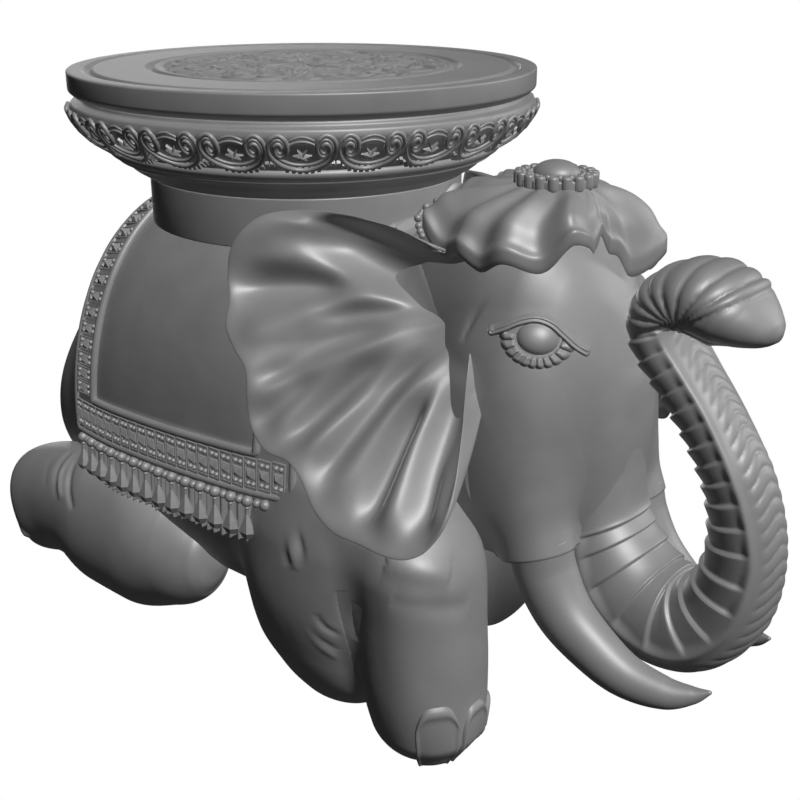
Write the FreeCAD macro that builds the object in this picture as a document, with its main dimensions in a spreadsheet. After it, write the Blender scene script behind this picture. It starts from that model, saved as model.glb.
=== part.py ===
import FreeCAD, Part
import math
import os
import Sketcher

# Carved elephant stool. The elephant kneels and looks along +X, the seat's axis is the Z axis,
# and the floor is at z = 0. Millimetres.

V = FreeCAD.Vector
doc = FreeCAD.newDocument("elephant_stool")
sheet = doc.addObject("Spreadsheet::Sheet", "sizes")

# Driving dimensions.
DRIVING = {
    "back_height": 322,
    "rump_reach": 240,
    "chest_reach": 190,
    "body_half_width": 132,
    "drum_sink": 16,
    "drum_radius": 110,
    "drum_height": 25,
    "moulding_height": 26.5,
    "moulding_radius": 136,
    "cove_radius": 124,
    "bowl_height": 35.5,
    "bowl_radius": 159.5,
    "bowl_foot_radius": 141,
    "bowl_lip": 7,
    "undercut_radius": 152,
    "undercut_height": 3,
    "seat_radius": 160,
    "seat_thickness": 17,
    "seat_round": 4,
    "rim_chamfer": 1.2,
    "outer_ring_radius": 146,
    "inner_ring_radius": 105,
    "ring_groove_width": 5.5,
    "ring_groove_depth": 2.5,
    "dentil_radius": 2.2,
    "seat_dowel_radius": 20,
    "seat_dowel_depth": 30,
    "glue_gap": 0.1,
    "head_back": 60,
    "head_overhang": 91,
    "head_half_width": 69,
    "head_height": 350,
    "cheek_spread": 54,
    "cheek_radius": 40,
    "eye_length": 26,
    "eye_height": 17,
    "eye_bulge": 11,
    "trunk_overhang": 74,
    "trunk_rise": 306,
    "trunk_half_width": 35,
    "trunk_half_depth": 34,
    "tusk_radius": 20,
    "tusk_overhang": 83,
    "tusk_spread": 54,
    "tusk_height": 150,
    "tusk_tenon_radius": 8,
    "tusk_tenon_length": 24,
    "ear_stand_off": 18,
    "ear_setback": 83,
    "ear_length": 150,
    "ear_height": 175,
    "ear_foot": 160,
    "ear_thickness": 7,
    "ear_root_width": 12,
    "ear_hollow": 7,
    "leg_inset": 34,
    "foreleg_offset": 8,
    "foreleg_height": 190,
    "foot_radius": 39,
    "elbow_setback": 66,
    "elbow_length": 70,
    "toenail_width": 25,
    "toenail_height": 30,
    "toenail_proud": 3,
    "hind_knee_setback": 192,
    "hind_length": 224,
    "hind_half_width": 40,
    "hind_half_height": 59,
    "leg_dowel_radius": 9,
    "leg_dowel_length": 50,
    "neck_dowel_radius": 11,
    "neck_dowel_length": 60,
    "cloth_rear_setback": 112,
    "cloth_front_setback": 78,
    "cloth_hem_height": 140,
    "cloth_hem_rise": 15,
    "cloth_thickness": 4,
    "border_width": 30,
    "border_proud": 2,
    "cord_width": 5,
    "cord_proud": 4,
    "fringe_drop": 35,
    "fringe_proud": 3,
    "headcloth_half_length": 54,
    "headcloth_thickness": 6,
    "medallion_radius": 25.5,
    "medallion_height": 9,
    "medallion_setback": 68,
    "cabochon_radius": 14,
    "cabochon_height": 13,
    "bead_radius": 1.9,
    "petal_radius": 3.6,
    "tail_radius": 8,
    "tail_length": 120,
}

for row, (alias, value) in enumerate(DRIVING.items(), start=1):
    sheet.set("A%d" % row, alias)
    sheet.set("B%d" % row, str(value))
    sheet.setAlias("B%d" % row, alias)
doc.recompute()


def size(alias):
    return float(getattr(sheet, alias))


# Stacked heights, worked out from the driving dimensions.
drum_bottom = size("back_height") - size("drum_sink")
drum_top = drum_bottom + size("drum_height")
moulding_top = drum_top + size("moulding_height")
bowl_top = moulding_top + size("bowl_height")
seat_height = bowl_top + size("seat_thickness")

rump_x = -size("rump_reach")
body_length = size("rump_reach") + size("chest_reach")
head_x = size("chest_reach") + size("head_overhang")
head_length = size("head_overhang") + size("head_back")
leg_y = size("body_half_width") - size("leg_inset")
foreleg_x = size("chest_reach") + size("foreleg_offset")
cloth_rear_x = rump_x + size("cloth_rear_setback")
cloth_front_x = size("chest_reach") - size("cloth_front_setback")

SECTION_POINTS = 16


def signed_power(value, power):
    return math.copysign(abs(value) ** power, value)


def ring_curve(points):
    """The smooth closed curve through a ring of points, read by their number."""
    curve = Part.BSplineCurve()
    numbers = list(range(len(points) + 1))
    curve.interpolate(Points=points, PeriodicFlag=True, Parameters=numbers)
    return curve


def across_curve(points, steps):
    """The curve through one point of each ring."""
    curve = Part.BSplineCurve()
    if len(points) == 2:
        curve.buildFromPolesMultsKnots(points, [2, 2], [steps[0], steps[1]], False, 1)
    else:
        curve.interpolate(Points=points, Parameters=steps)
    return curve


def skin_surface(rings):
    """A smooth surface through rings with the same number of points each."""
    around = [ring_curve(ring) for ring in rings]
    steps = [0.0]
    for near, far in zip(rings, rings[1:]):
        gaps = [(far_point - near_point).Length for near_point, far_point in zip(near, far)]
        steps.append(steps[-1] + sum(gaps) / len(gaps))
    along = [across_curve(list(poles), steps)
             for poles in zip(*[curve.getPoles() for curve in around])]
    net = [list(row) for row in zip(*[curve.getPoles() for curve in along])]
    surface = Part.BSplineSurface()
    surface.buildFromPolesMultsKnots(
        net,
        along[0].getMultiplicities(),
        around[0].getMultiplicities(),
        along[0].getKnots(),
        around[0].getKnots(),
        False,
        True,
        along[0].Degree,
        around[0].Degree,
    )
    return surface


def skin(*strips):
    """A solid bounded by strips of rings, one after the other, with a flat face at each end."""
    surfaces = [skin_surface(rings) for rings in strips]
    faces = [surface.toShape() for surface in surfaces]
    first = surfaces[0].uIso(surfaces[0].bounds()[0])
    last = surfaces[-1].uIso(surfaces[-1].bounds()[1])
    for curve in (first, last):
        faces.append(Part.Face(Part.Wire([curve.toShape()])))
    shell = Part.makeShell(faces)
    shell.sewShape()
    solid = Part.makeSolid(shell)
    if solid.Volume < 0:
        solid.reverse()
    return solid


def oval(centre, across, upward, half_across, half_up, half_down, squareness, count=SECTION_POINTS):
    """A superellipse whose upper and lower halves may differ in height."""
    points = []
    for step in range(count):
        angle = 2 * math.pi * step / count - math.pi / 2
        side = signed_power(math.cos(angle), 2 / squareness)
        lift = signed_power(math.sin(angle), 2 / squareness)
        rise = half_up if lift > 0 else half_down
        points.append(centre + across * (half_across * side) + upward * (rise * lift))
    return points


def feature(name, shape):
    part = doc.addObject("Part::Feature", name)
    part.Label = name
    part.Shape = shape
    return part


def cut(name, base, *tools):
    """The base without each of the tools."""
    current = base
    for number, tool in enumerate(tools, start=1):
        label = name if number == len(tools) else "%s_step_%d" % (name, number)
        result = doc.addObject("Part::Cut", label)
        result.Label = label
        result.Base = current
        result.Tool = tool
        current = result
    return current


def common(name, base, tool):
    result = doc.addObject("Part::Common", name)
    result.Label = name
    result.Base = base
    result.Tool = tool
    return result


def fuse(name, *shapes):
    result = doc.addObject("Part::MultiFuse", name)
    result.Label = name
    result.Shapes = list(shapes)
    return result


def mirrored(name, source):
    """The same piece on the elephant's left side."""
    result = doc.addObject("Part::Mirroring", name)
    result.Label = name
    result.Source = source
    result.Normal = V(0, 1, 0)
    return result


def cylinder(name, radius, height, **place):
    part = doc.addObject("Part::Cylinder", name)
    part.Label = name
    part.setExpression("Radius", radius)
    part.setExpression("Height", height)
    for key, text in place.items():
        part.setExpression("Placement.Base.%s" % key, text)
    return part


def new_body(name):
    body = doc.addObject("PartDesign::Body", name)
    body.Label = name
    return body


def origin_plane(body, role):
    for item in body.Origin.OriginFeatures:
        if item.Role == role:
            return item
    raise ValueError(role)


def new_sketch(body, name, role="XZ_Plane"):
    sketch = body.newObject("Sketcher::SketchObject", name)
    sketch.AttachmentSupport = [(origin_plane(body, role), "")]
    sketch.MapMode = "FlatFace"
    return sketch


def pin_point(sketch, geometry, end, name, across, upward):
    """Holds one corner at two expressions, or on an axis where one is None."""
    for axis, kind, line, text in (("x", "DistanceX", -2, across), ("y", "DistanceY", -1, upward)):
        if text is None:
            sketch.addConstraint(Sketcher.Constraint("PointOnObject", geometry, end, line))
            continue
        value = float(sketch.evalExpression(text))
        index = sketch.addConstraint(Sketcher.Constraint(kind, -1, 1, geometry, end, value))
        sketch.renameConstraint(index, name + axis)
        sketch.setExpression("Constraints.%s%s" % (name, axis), text)


def corner_value(sketch, text):
    return 0.0 if text is None else float(sketch.evalExpression(text))


def profile(sketch, corners):
    """A closed outline of straight sides. Each corner is a pair of expressions."""
    places = [V(corner_value(sketch, x), corner_value(sketch, y), 0) for x, y in corners]
    count = len(corners)
    for number in range(count):
        sketch.addGeometry(Part.LineSegment(places[number], places[(number + 1) % count]), False)
    for number in range(count):
        following = (number + 1) % count
        sketch.addConstraint(Sketcher.Constraint("Coincident", number, 2, following, 1))
    for number, (x, y) in enumerate(corners):
        pin_point(sketch, number, 1, "corner%d" % number, x, y)


def revolution(body, sketch, name):
    turned = body.newObject("PartDesign::Revolution", name)
    turned.Profile = sketch
    turned.ReferenceAxis = (sketch, ["V_Axis"])
    turned.Angle = 360
    body.Tip = turned
    return turned


def ring_groove(body, name, radius):
    """A square-edged groove round the seat's face."""
    top = "sizes.back_height - sizes.drum_sink + sizes.drum_height + sizes.moulding_height" \
          " + sizes.bowl_height + sizes.seat_thickness"
    inner = "%s - sizes.ring_groove_width / 2" % radius
    outer = "%s + sizes.ring_groove_width / 2" % radius
    floor = "%s - sizes.ring_groove_depth" % top
    roof = "%s + sizes.ring_groove_depth" % top
    sketch = new_sketch(body, name + "_sketch")
    profile(sketch, [(inner, floor), (outer, floor), (outer, roof), (inner, roof)])
    groove = body.newObject("PartDesign::Groove", name)
    groove.Profile = sketch
    groove.ReferenceAxis = (sketch, ["V_Axis"])
    groove.Angle = 360
    body.Tip = groove


DRUM_BOTTOM = "(sizes.back_height - sizes.drum_sink)"
DRUM_TOP = "(%s + sizes.drum_height)" % DRUM_BOTTOM
MOULDING_TOP = "(%s + sizes.moulding_height)" % DRUM_TOP
BOWL_TOP = "(%s + sizes.bowl_height)" % MOULDING_TOP
SEAT_TOP = "(%s + sizes.seat_thickness)" % BOWL_TOP


def make_seat_top():
    body = new_body("seat_top")
    sketch = new_sketch(body, "seat_outline")
    profile(sketch, [
        (None, BOWL_TOP),
        ("sizes.undercut_radius", BOWL_TOP),
        ("sizes.seat_radius - sizes.seat_round", BOWL_TOP + " + sizes.seat_round / 4"),
        ("sizes.seat_radius", BOWL_TOP + " + sizes.seat_round"),
        ("sizes.seat_radius", SEAT_TOP + " - sizes.rim_chamfer"),
        ("sizes.seat_radius - sizes.rim_chamfer", SEAT_TOP),
        (None, SEAT_TOP),
    ])
    revolution(body, sketch, "seat_disc")
    doc.recompute()
    before = body.Shape.Volume
    ring_groove(body, "outer_ring_groove", "sizes.outer_ring_radius")
    ring_groove(body, "inner_ring_groove", "sizes.inner_ring_radius")
    doc.recompute()
    print("ring grooves take", round(before - body.Shape.Volume), "cubic mm")
    return body


def make_seat_bowl():
    """The block that carries the frieze: an undercut neck, a proud lip and a swelling side."""
    body = new_body("seat_bowl_blank")
    sketch = new_sketch(body, "bowl_outline")
    swell = "(sizes.bowl_radius - sizes.bowl_foot_radius)"
    lip = BOWL_TOP + " - sizes.undercut_height"
    drop = "(sizes.bowl_height - sizes.undercut_height - sizes.bowl_lip)"
    side = lip + " - sizes.bowl_lip - %s * " % drop
    profile(sketch, [
        (None, MOULDING_TOP),
        ("sizes.bowl_foot_radius", MOULDING_TOP),
        ("sizes.bowl_foot_radius + %s * 0.13" % swell, side + "0.85"),
        ("sizes.bowl_foot_radius + %s * 0.42" % swell, side + "0.69"),
        ("sizes.bowl_foot_radius + %s * 0.62" % swell, side + "0.5"),
        ("sizes.bowl_foot_radius + %s * 0.83" % swell, side + "0.27"),
        ("sizes.bowl_radius", lip + " - sizes.bowl_lip"),
        ("sizes.bowl_radius", lip),
        ("sizes.undercut_radius", lip),
        ("sizes.undercut_radius", BOWL_TOP),
        (None, BOWL_TOP),
    ])
    revolution(body, sketch, "bowl_block")
    doc.recompute()
    return cut("seat_bowl", body, dowel_hole("bowl_dowel_hole"))


def make_seat_moulding():
    """The torus under the bowl and the ovolo that runs into the drum."""
    body = new_body("seat_moulding_blank")
    sketch = new_sketch(body, "moulding_outline")
    step = "(sizes.moulding_radius - sizes.cove_radius)"
    inner = "(sizes.cove_radius - sizes.drum_radius)"
    under = MOULDING_TOP + " - sizes.moulding_height * "
    profile(sketch, [
        (None, DRUM_TOP),
        ("sizes.drum_radius", DRUM_TOP),
        ("sizes.drum_radius + %s * 0.25" % inner, under + "0.89"),
        ("sizes.drum_radius + %s * 0.62" % inner, under + "0.77"),
        ("sizes.drum_radius + %s * 0.86" % inner, under + "0.66"),
        ("sizes.cove_radius", under + "0.53"),
        ("sizes.cove_radius + %s * 0.17" % step, under + "0.43"),
        ("sizes.cove_radius + %s * 0.58" % step, under + "0.32"),
        ("sizes.moulding_radius", under + "0.19"),
        ("sizes.moulding_radius", under + "0.09"),
        ("sizes.cove_radius + %s * 0.75" % step, MOULDING_TOP),
        (None, MOULDING_TOP),
    ])
    revolution(body, sketch, "moulding_block")
    doc.recompute()
    return cut("seat_moulding", body, dowel_hole("moulding_dowel_hole"))


def dowel_hole(name):
    """The bore for the seat dowel, one glue gap wider than the dowel."""
    return cylinder(
        name,
        "sizes.seat_dowel_radius + sizes.glue_gap",
        "sizes.seat_dowel_depth * 2 + sizes.drum_height + sizes.moulding_height",
        z=DRUM_BOTTOM + " - sizes.seat_dowel_depth",
    )


def make_drum():
    body = new_body("pedestal_drum_blank")
    sketch = new_sketch(body, "drum_outline")
    profile(sketch, [
        (None, DRUM_BOTTOM),
        ("sizes.drum_radius", DRUM_BOTTOM),
        ("sizes.drum_radius", DRUM_TOP),
        (None, DRUM_TOP),
    ])
    revolution(body, sketch, "drum_block")
    doc.recompute()
    return cut("pedestal_drum", body, dowel_hole("drum_dowel_hole"))


def make_seat_dowel():
    return cylinder(
        "seat_dowel",
        "sizes.seat_dowel_radius",
        "sizes.seat_dowel_depth * 2 + sizes.drum_height + sizes.moulding_height",
        z=DRUM_BOTTOM + " - sizes.seat_dowel_depth",
    )


# Torso, one row per cross-section from rump to chest: place along the body, half width, top, bottom,
# height of the widest point and squareness. The widths and heights are shares of their sizes.
TORSO_SHARES = [
    (0.000, 0.02, 0.43, 0.34, 0.385, 2.0),
    (0.009, 0.25, 0.50, 0.285, 0.385, 2.0),
    (0.037, 0.50, 0.578, 0.236, 0.391, 2.0),
    (0.093, 0.70, 0.677, 0.174, 0.404, 2.1),
    (0.174, 0.79, 0.801, 0.130, 0.429, 2.2),
    (0.267, 0.917, 0.950, 0.099, 0.453, 2.2),
    (0.419, 0.985, 0.994, 0.081, 0.460, 2.3),
    (0.558, 1.000, 1.000, 0.075, 0.466, 2.3),
    (0.698, 0.985, 0.994, 0.081, 0.466, 2.3),
    (0.814, 0.924, 0.981, 0.093, 0.466, 2.2),
    (0.907, 0.758, 0.963, 0.112, 0.497, 2.2),
    (1.000, 0.576, 0.932, 0.140, 0.528, 2.2),
]


def torso_form(grow):
    """The torso's outer form, grown outwards by a length, so that cloths can lie on it."""
    rings = []
    for along, width, top, bottom, middle, squareness in TORSO_SHARES:
        x = rump_x + body_length * along
        z = size("back_height") * middle
        up = size("back_height") * (top - middle) + grow
        down = size("back_height") * (middle - bottom) + grow
        half = size("body_half_width") * width + grow
        rings.append(oval(V(x, 0, z), V(0, -1, 0), V(0, 0, 1), half, up, down, squareness))
    return skin(rings)


def make_torso():
    blank = feature("torso_blank", torso_form(0))
    pocket = cylinder(
        "drum_pocket",
        "sizes.drum_radius + sizes.glue_gap",
        "sizes.drum_sink * 2",
        z=DRUM_BOTTOM,
    )
    return blank, cut("torso_bored", blank, pocket, dowel_hole("torso_dowel_hole"))


# Head, rows as for the torso; the place runs from the back of the head to the face.
HEAD_SHARES = [
    (0.000, 0.78, 0.943, 0.514, 0.686, 2.2),
    (0.132, 0.90, 0.977, 0.457, 0.686, 2.3),
    (0.464, 1.00, 1.000, 0.429, 0.700, 2.4),
    (0.636, 0.957, 0.971, 0.417, 0.700, 2.5),
    (0.768, 0.812, 0.909, 0.434, 0.686, 2.5),
    (0.861, 0.652, 0.846, 0.457, 0.657, 2.5),
    (0.927, 0.522, 0.783, 0.471, 0.643, 2.4),
    (0.967, 0.406, 0.731, 0.500, 0.623, 2.3),
    (0.993, 0.203, 0.680, 0.543, 0.606, 2.0),
    (1.000, 0.030, 0.617, 0.590, 0.604, 2.0),
]

# Tusk sheath, one row per section: place behind the face, sideways place, height, half width and
# half depth. The heights are shares of the head's height, the half sizes of the sheath's radius.
SHEATH_SHARES = [
    (0.505, 0.81, 0.814, 0.75, 0.90),
    (0.380, 0.89, 0.686, 0.75, 1.00),
    (0.300, 0.94, 0.586, 0.72, 0.95),
    (0.245, 0.98, 0.500, 0.65, 0.80),
    (0.205, 1.00, 0.434, 0.60, 0.65),
    (0.185, 1.00, 0.403, 0.575, 0.575),
]


def head_form():
    rings = []
    for along, width, top, bottom, middle, squareness in HEAD_SHARES:
        x = head_x - head_length * (1 - along)
        z = size("head_height") * middle
        up = size("head_height") * (top - middle)
        down = size("head_height") * (middle - bottom)
        half = size("head_half_width") * width
        rings.append(oval(V(x, 0, z), V(0, -1, 0), V(0, 0, 1), half, up, down, squareness))
    return skin(rings)


def sheath_form():
    rings = []
    for back, side, height, half_width, half_depth in SHEATH_SHARES:
        centre = V(head_x - head_length * back, -size("cheek_spread") * side, size("head_height") * height)
        across = size("cheek_radius") * half_width
        deep = size("cheek_radius") * half_depth
        rings.append(oval(centre, V(0, -1, 0), V(1, 0, 0), across, deep, deep, 2.1))
    return skin(rings)


# Tusk, one row per section: place in front of the face, sideways place, height and radius, as
# shares of the tusk's overhang, spread, height and radius.
TUSK_SHARES = [
    (-0.373, 1.00, 1.000, 1.00),
    (-0.301, 1.00, 0.867, 0.975),
    (-0.133, 1.00, 0.720, 0.90),
    (0.108, 0.98, 0.613, 0.80),
    (0.386, 0.944, 0.547, 0.675),
    (0.687, 0.852, 0.507, 0.50),
    (0.880, 0.759, 0.527, 0.275),
    (1.000, 0.704, 0.560, 0.05),
]


def path_frames(points):
    """The centre line through the points, and the direction in which it runs at each."""
    curve = Part.BSplineCurve()
    curve.interpolate(Points=points)
    frames = []
    for point in points:
        direction = curve.tangent(curve.parameter(point))[0]
        direction.normalize()
        frames.append((point, direction))
    return frames


def swept_form(points, half_widths, half_depths, squareness):
    """Ovals square to a centre line, their width along Y."""
    rings = []
    for (point, direction), width, depth in zip(path_frames(points), half_widths, half_depths):
        side = V(0, -1, 0)
        across = side - direction * side.dot(direction)
        across.normalize()
        upward = direction.cross(across)
        rings.append(oval(point, across, upward, width, depth, depth, squareness))
    return skin(rings)


def tusk_form():
    points = []
    for ahead, side, height, radius in TUSK_SHARES:
        x = head_x + size("tusk_overhang") * ahead
        points.append(V(x, -size("tusk_spread") * side, size("tusk_height") * height))
    radii = [size("tusk_radius") * row[3] for row in TUSK_SHARES]
    return swept_form(points, radii, radii, 2.0)


# Trunk, one row per section: place in front of the face, height, half width and half depth, as
# shares of the trunk's overhang, rise, half width and half depth.
TRUNK_SHARES = [
    (-0.473, 0.703, 0.94, 1.00),
    (-0.432, 0.588, 0.97, 1.00),
    (-0.338, 0.490, 1.00, 0.97),
    (-0.095, 0.399, 1.00, 0.97),
    (0.257, 0.337, 1.00, 0.97),
    (0.635, 0.330, 0.97, 0.91),
    (0.919, 0.399, 0.89, 0.85),
    (1.000, 0.523, 0.80, 0.76),
    (0.892, 0.647, 0.74, 0.65),
    (0.649, 0.752, 0.71, 0.56),
    (0.378, 0.837, 0.74, 0.50),
    (0.189, 0.899, 0.80, 0.44),
    (0.135, 0.944, 0.86, 0.44),
    (0.257, 0.987, 0.91, 0.53),
    (0.527, 1.000, 0.94, 0.62),
    (0.770, 0.980, 0.94, 0.62),
    (0.919, 0.954, 0.91, 0.59),
]


def trunk_form():
    points = []
    for ahead, height, width, depth in TRUNK_SHARES:
        x = head_x + size("trunk_overhang") * ahead
        points.append(V(x, 0, size("trunk_rise") * height))
    widths = [size("trunk_half_width") * row[2] for row in TRUNK_SHARES]
    depths = [size("trunk_half_depth") * row[3] for row in TRUNK_SHARES]
    return swept_form(points, widths, depths, 2.2)


# Foreleg, one row per level: height, place in front of the axis of the leg, sideways place, half
# length ahead, half length behind and half width, as shares of the leg's height and foot radius.
FORELEG_SHARES = [
    (0.000, 0.03, 0.00, 0.69, 0.64, 0.69, 2.2),
    (0.016, 0.03, 0.00, 0.79, 0.74, 0.79, 2.2),
    (0.105, 0.05, 0.00, 0.92, 0.92, 0.92, 2.2),
    (0.316, 0.00, 0.00, 0.97, 1.00, 1.00, 2.2),
    (0.526, -0.05, 0.00, 0.92, 1.08, 1.00, 2.2),
    (0.674, -0.20, 0.03, 0.92, 1.18, 1.02, 2.2),
    (0.789, -0.46, 0.10, 1.02, 1.28, 0.97, 2.2),
    (0.895, -0.77, 0.15, 0.92, 1.15, 0.77, 2.2),
    (0.974, -0.97, 0.20, 0.30, 0.30, 0.30, 2.0),
]

# Upper arm and elbow, rows as for the foreleg; lengths are shares of the elbow's length.
ELBOW_SHARES = [
    (0.000, -0.03, -0.03, 0.23, 0.23, 0.14, 2.0),
    (0.021, -0.03, -0.03, 0.37, 0.34, 0.26, 2.0),
    (0.074, -0.03, 0.00, 0.51, 0.49, 0.34, 2.0),
    (0.147, -0.03, 0.03, 0.63, 0.66, 0.44, 2.1),
    (0.263, -0.06, 0.07, 0.74, 0.86, 0.53, 2.2),
    (0.474, -0.03, 0.10, 0.80, 1.00, 0.59, 2.2),
    (0.684, 0.11, 0.06, 0.77, 1.03, 0.60, 2.2),
    (0.868, 0.26, -0.09, 0.63, 0.91, 0.54, 2.2),
    (1.000, 0.34, -0.20, 0.34, 0.51, 0.34, 2.0),
]


def standing_form(rows, axis_x, unit):
    """Level ovals one above the other, each with its own reach ahead and behind."""
    rings = []
    for height, ahead, outward, front, rear, half_width, squareness in rows:
        centre = V(axis_x + unit * ahead, -leg_y - unit * outward, size("foreleg_height") * height)
        rings.append(oval(centre, V(0, -1, 0), V(1, 0, 0), unit * half_width, unit * front,
                          unit * rear, squareness))
    return skin(rings)


# Hind leg, one row per section from the knee back to the sole: place behind the knee, height of
# the middle, half width and half height, as shares.
HIND_SHARES = [
    (0.000, 1.07, 0.20, 0.14),
    (0.027, 1.03, 0.55, 0.37),
    (0.152, 1.00, 0.85, 0.71),
    (0.348, 1.00, 1.00, 0.98),
    (0.527, 1.02, 1.00, 0.99),
    (0.661, 1.02, 0.95, 0.86),
    (0.795, 0.98, 0.90, 0.78),
    (0.906, 0.89, 0.88, 0.75),
    (0.973, 0.82, 0.70, 0.61),
    (1.000, 0.78, 0.15, 0.14),
]


def hind_form():
    knee_x = size("chest_reach") - size("hind_knee_setback")
    rings = []
    for along, middle, half_width, half_height in HIND_SHARES:
        centre = V(knee_x - size("hind_length") * along, -leg_y - size("foot_radius") * 0.25,
                   size("hind_half_height") * middle)
        tall = size("hind_half_height") * half_height
        rings.append(oval(centre, V(0, -1, 0), V(0, 0, 1), size("hind_half_width") * half_width,
                          tall, tall, 2.15))
    return skin(rings)


# Ear, one row per ray of the fan from its top round the rear and the lobe to the front edge: place
# behind the root, outward place and height of the ray's end, and how far the ray is hollowed.
EAR_SHARES = [
    (0.72, 0.540, 0.985, 0.0),
    (0.87, 0.640, 0.980, 0.2),
    (0.97, 0.725, 0.915, 0.6),
    (1.00, 0.775, 0.810, 0.9),
    (0.92, 0.880, 0.600, 1.0),
    (0.72, 0.940, 0.470, 1.0),
    (0.70, 0.970, 0.320, 0.9),
    (0.57, 0.985, 0.220, 0.8),
    (0.44, 0.995, 0.215, 0.8),
    (0.36, 1.000, 0.150, 0.7),
    (0.26, 1.000, 0.040, 0.6),
    (0.10, 0.990, 0.015, 0.5),
    (-0.06, 0.970, 0.000, 0.4),
    (-0.21, 0.900, 0.050, 0.2),
]
EAR_ROOT_SHARES = ((0.33, 0.89), (0.35, 0.62))


def ear_form():
    """A fan of thin hollowed ovals that start inside the head, with their ends on the ear's edge."""
    root_x = head_x - size("ear_setback")
    spread = size("body_half_width") + size("ear_stand_off")
    upper, lower = EAR_ROOT_SHARES
    ends = [V(root_x - size("ear_length") * back, -spread * out,
              size("ear_foot") + size("ear_height") * height)
            for back, out, height, hollow in EAR_SHARES]
    last = len(ends) - 1
    rings = []
    for number, (end, row) in enumerate(zip(ends, EAR_SHARES)):
        turn = math.pi / 2 * number / last
        down = math.sin(turn)
        out = upper[0] + (lower[0] - upper[0]) * down
        height = upper[1] + (lower[1] - upper[1]) * down
        root = V(root_x + size("ear_root_width") * (1 - math.cos(turn)), -spread * out,
                 size("ear_foot") + size("ear_height") * height)
        ray = end - root
        half_length = ray.Length / 2
        ray.normalize()
        edge = ends[min(number + 1, last)] - ends[max(number - 1, 0)]
        outward = ray.cross(edge)
        outward.normalize()
        if outward.y > 0:
            outward = outward * -1
        rings.append(hollow_oval((root + end) * 0.5, ray, outward, half_length,
                                 size("ear_thickness") / 2, size("ear_hollow") * row[3]))
    return skin(rings)


def hollow_oval(centre, along, outward, half_length, half_thickness, hollow):
    """A thin oval whose middle bends inwards."""
    points = []
    for step in range(SECTION_POINTS):
        angle = 2 * math.pi * step / SECTION_POINTS
        reach = signed_power(math.cos(angle), 0.7)
        lift = half_thickness * signed_power(math.sin(angle), 0.7) - hollow * (1 - reach ** 2)
        points.append(centre + along * (half_length * reach) + outward * lift)
    return points


# Headcloth: place round the crown from the front to the back in shares of a half turn, reach from
# the medallion's axis in shares of the half length, and hem height in shares of the head's height.
HEM_SHARES = [
    (0.00, 0.72, 0.927),
    (0.08, 0.76, 0.925),
    (0.19, 1.09, 0.945),
    (0.27, 1.19, 0.938),
    (0.38, 1.26, 0.914),
    (0.50, 1.27, 0.909),
    (0.62, 1.31, 0.914),
    (0.77, 1.45, 0.955),
    (0.88, 1.12, 0.985),
    (1.00, 1.00, 0.992),
]
PLEATS = 18
PLEAT_SHARE = 0.035
FOLD_SHARES = ((0.60, 0.24), (0.82, 0.58), (1.00, 1.00), (0.96, 1.08), (0.60, 1.12))


def between(rows, place):
    """Straight-line reading of a table by its first column."""
    for low, high in zip(rows, rows[1:]):
        if place <= high[0]:
            part = (place - low[0]) / (high[0] - low[0])
            return [a + (b - a) * part for a, b in zip(low[1:], high[1:])]
    return list(rows[-1][1:])


def headcloth_ring(reach_share, drop_share):
    """One ring of the cloth, with a ridge on each pleat."""
    axis_x = head_x - size("medallion_setback")
    crown = size("head_height") + size("headcloth_thickness")
    points = []
    for step in range(PLEATS * 4):
        turn = 2 * math.pi * step / (PLEATS * 4) - math.pi / 2
        place = abs(math.remainder(turn, 2 * math.pi)) / math.pi
        reach, hem = between(HEM_SHARES, place)
        ridge = 1 + PLEAT_SHARE * math.cos(step * math.pi / 2)
        radius = size("headcloth_half_length") * reach * reach_share * ridge
        z = crown - (crown - size("head_height") * hem) * drop_share
        points.append(V(axis_x + radius * math.cos(turn), radius * math.sin(turn), z))
    return points


def headcloth_form():
    """A pleated cap: a flat crown, folds down to a free hem, and an underside inside the head."""
    axis_x = head_x - size("medallion_setback")
    crown = size("head_height") + size("headcloth_thickness")
    inside = crown - size("headcloth_thickness") * 10
    count = PLEATS * 4
    rim = size("medallion_radius") * 1.1
    rings = [oval(V(axis_x, 0, crown), V(1, 0, 0), V(0, 1, 0), rim, rim, rim, 2.0, count)]
    for reach_share, drop_share in FOLD_SHARES:
        rings.append(headcloth_ring(reach_share, drop_share))
    half = size("headcloth_half_length") / 2
    rings.append(oval(V(axis_x, 0, inside), V(1, 0, 0), V(0, 1, 0), half, half, half, 2.0, count))
    return skin(rings)


def cloth_window(name, inset, drop):
    """The cloth's outline seen from the side, drawn in by the inset and reaching below its hem by
    the drop, as a block across the whole body."""
    body = new_body(name)
    sketch = new_sketch(body, name + "_sketch")
    rear = "-(sizes.rump_reach - sizes.cloth_rear_setback) + %s" % inset
    front = "sizes.chest_reach - sizes.cloth_front_setback - %s" % inset
    hem = "sizes.cloth_hem_height + %s - %s" % (inset, drop)
    roof = "sizes.back_height + sizes.border_width"
    profile(sketch, [
        (rear, hem),
        (front, hem + " + sizes.cloth_hem_rise"),
        (front, roof),
        (rear, roof),
    ])
    pad = body.newObject("PartDesign::Pad", name + "_pad")
    pad.Profile = sketch
    pad.SideType = "Symmetric"
    pad.setExpression("Length", "(sizes.body_half_width + sizes.border_width) * 4")
    body.Tip = pad
    return body


def cloth_layer(name, grow, under, *windows):
    """A skin on the torso between two distances from it, inside the first window and outside the
    second, and clear of the drum."""
    outer = feature(name + "_outer", torso_form(grow))
    inner = feature(name + "_inner", torso_form(under))
    shape = common(name + "_sheet", outer, windows[0])
    if len(windows) > 1:
        shape = cut(name + "_frame", shape, windows[1])
    well = cylinder(
        name + "_well",
        "sizes.drum_radius + sizes.glue_gap",
        "sizes.back_height",
        z=DRUM_BOTTOM,
    )
    return cut(name, shape, inner, well)


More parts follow.
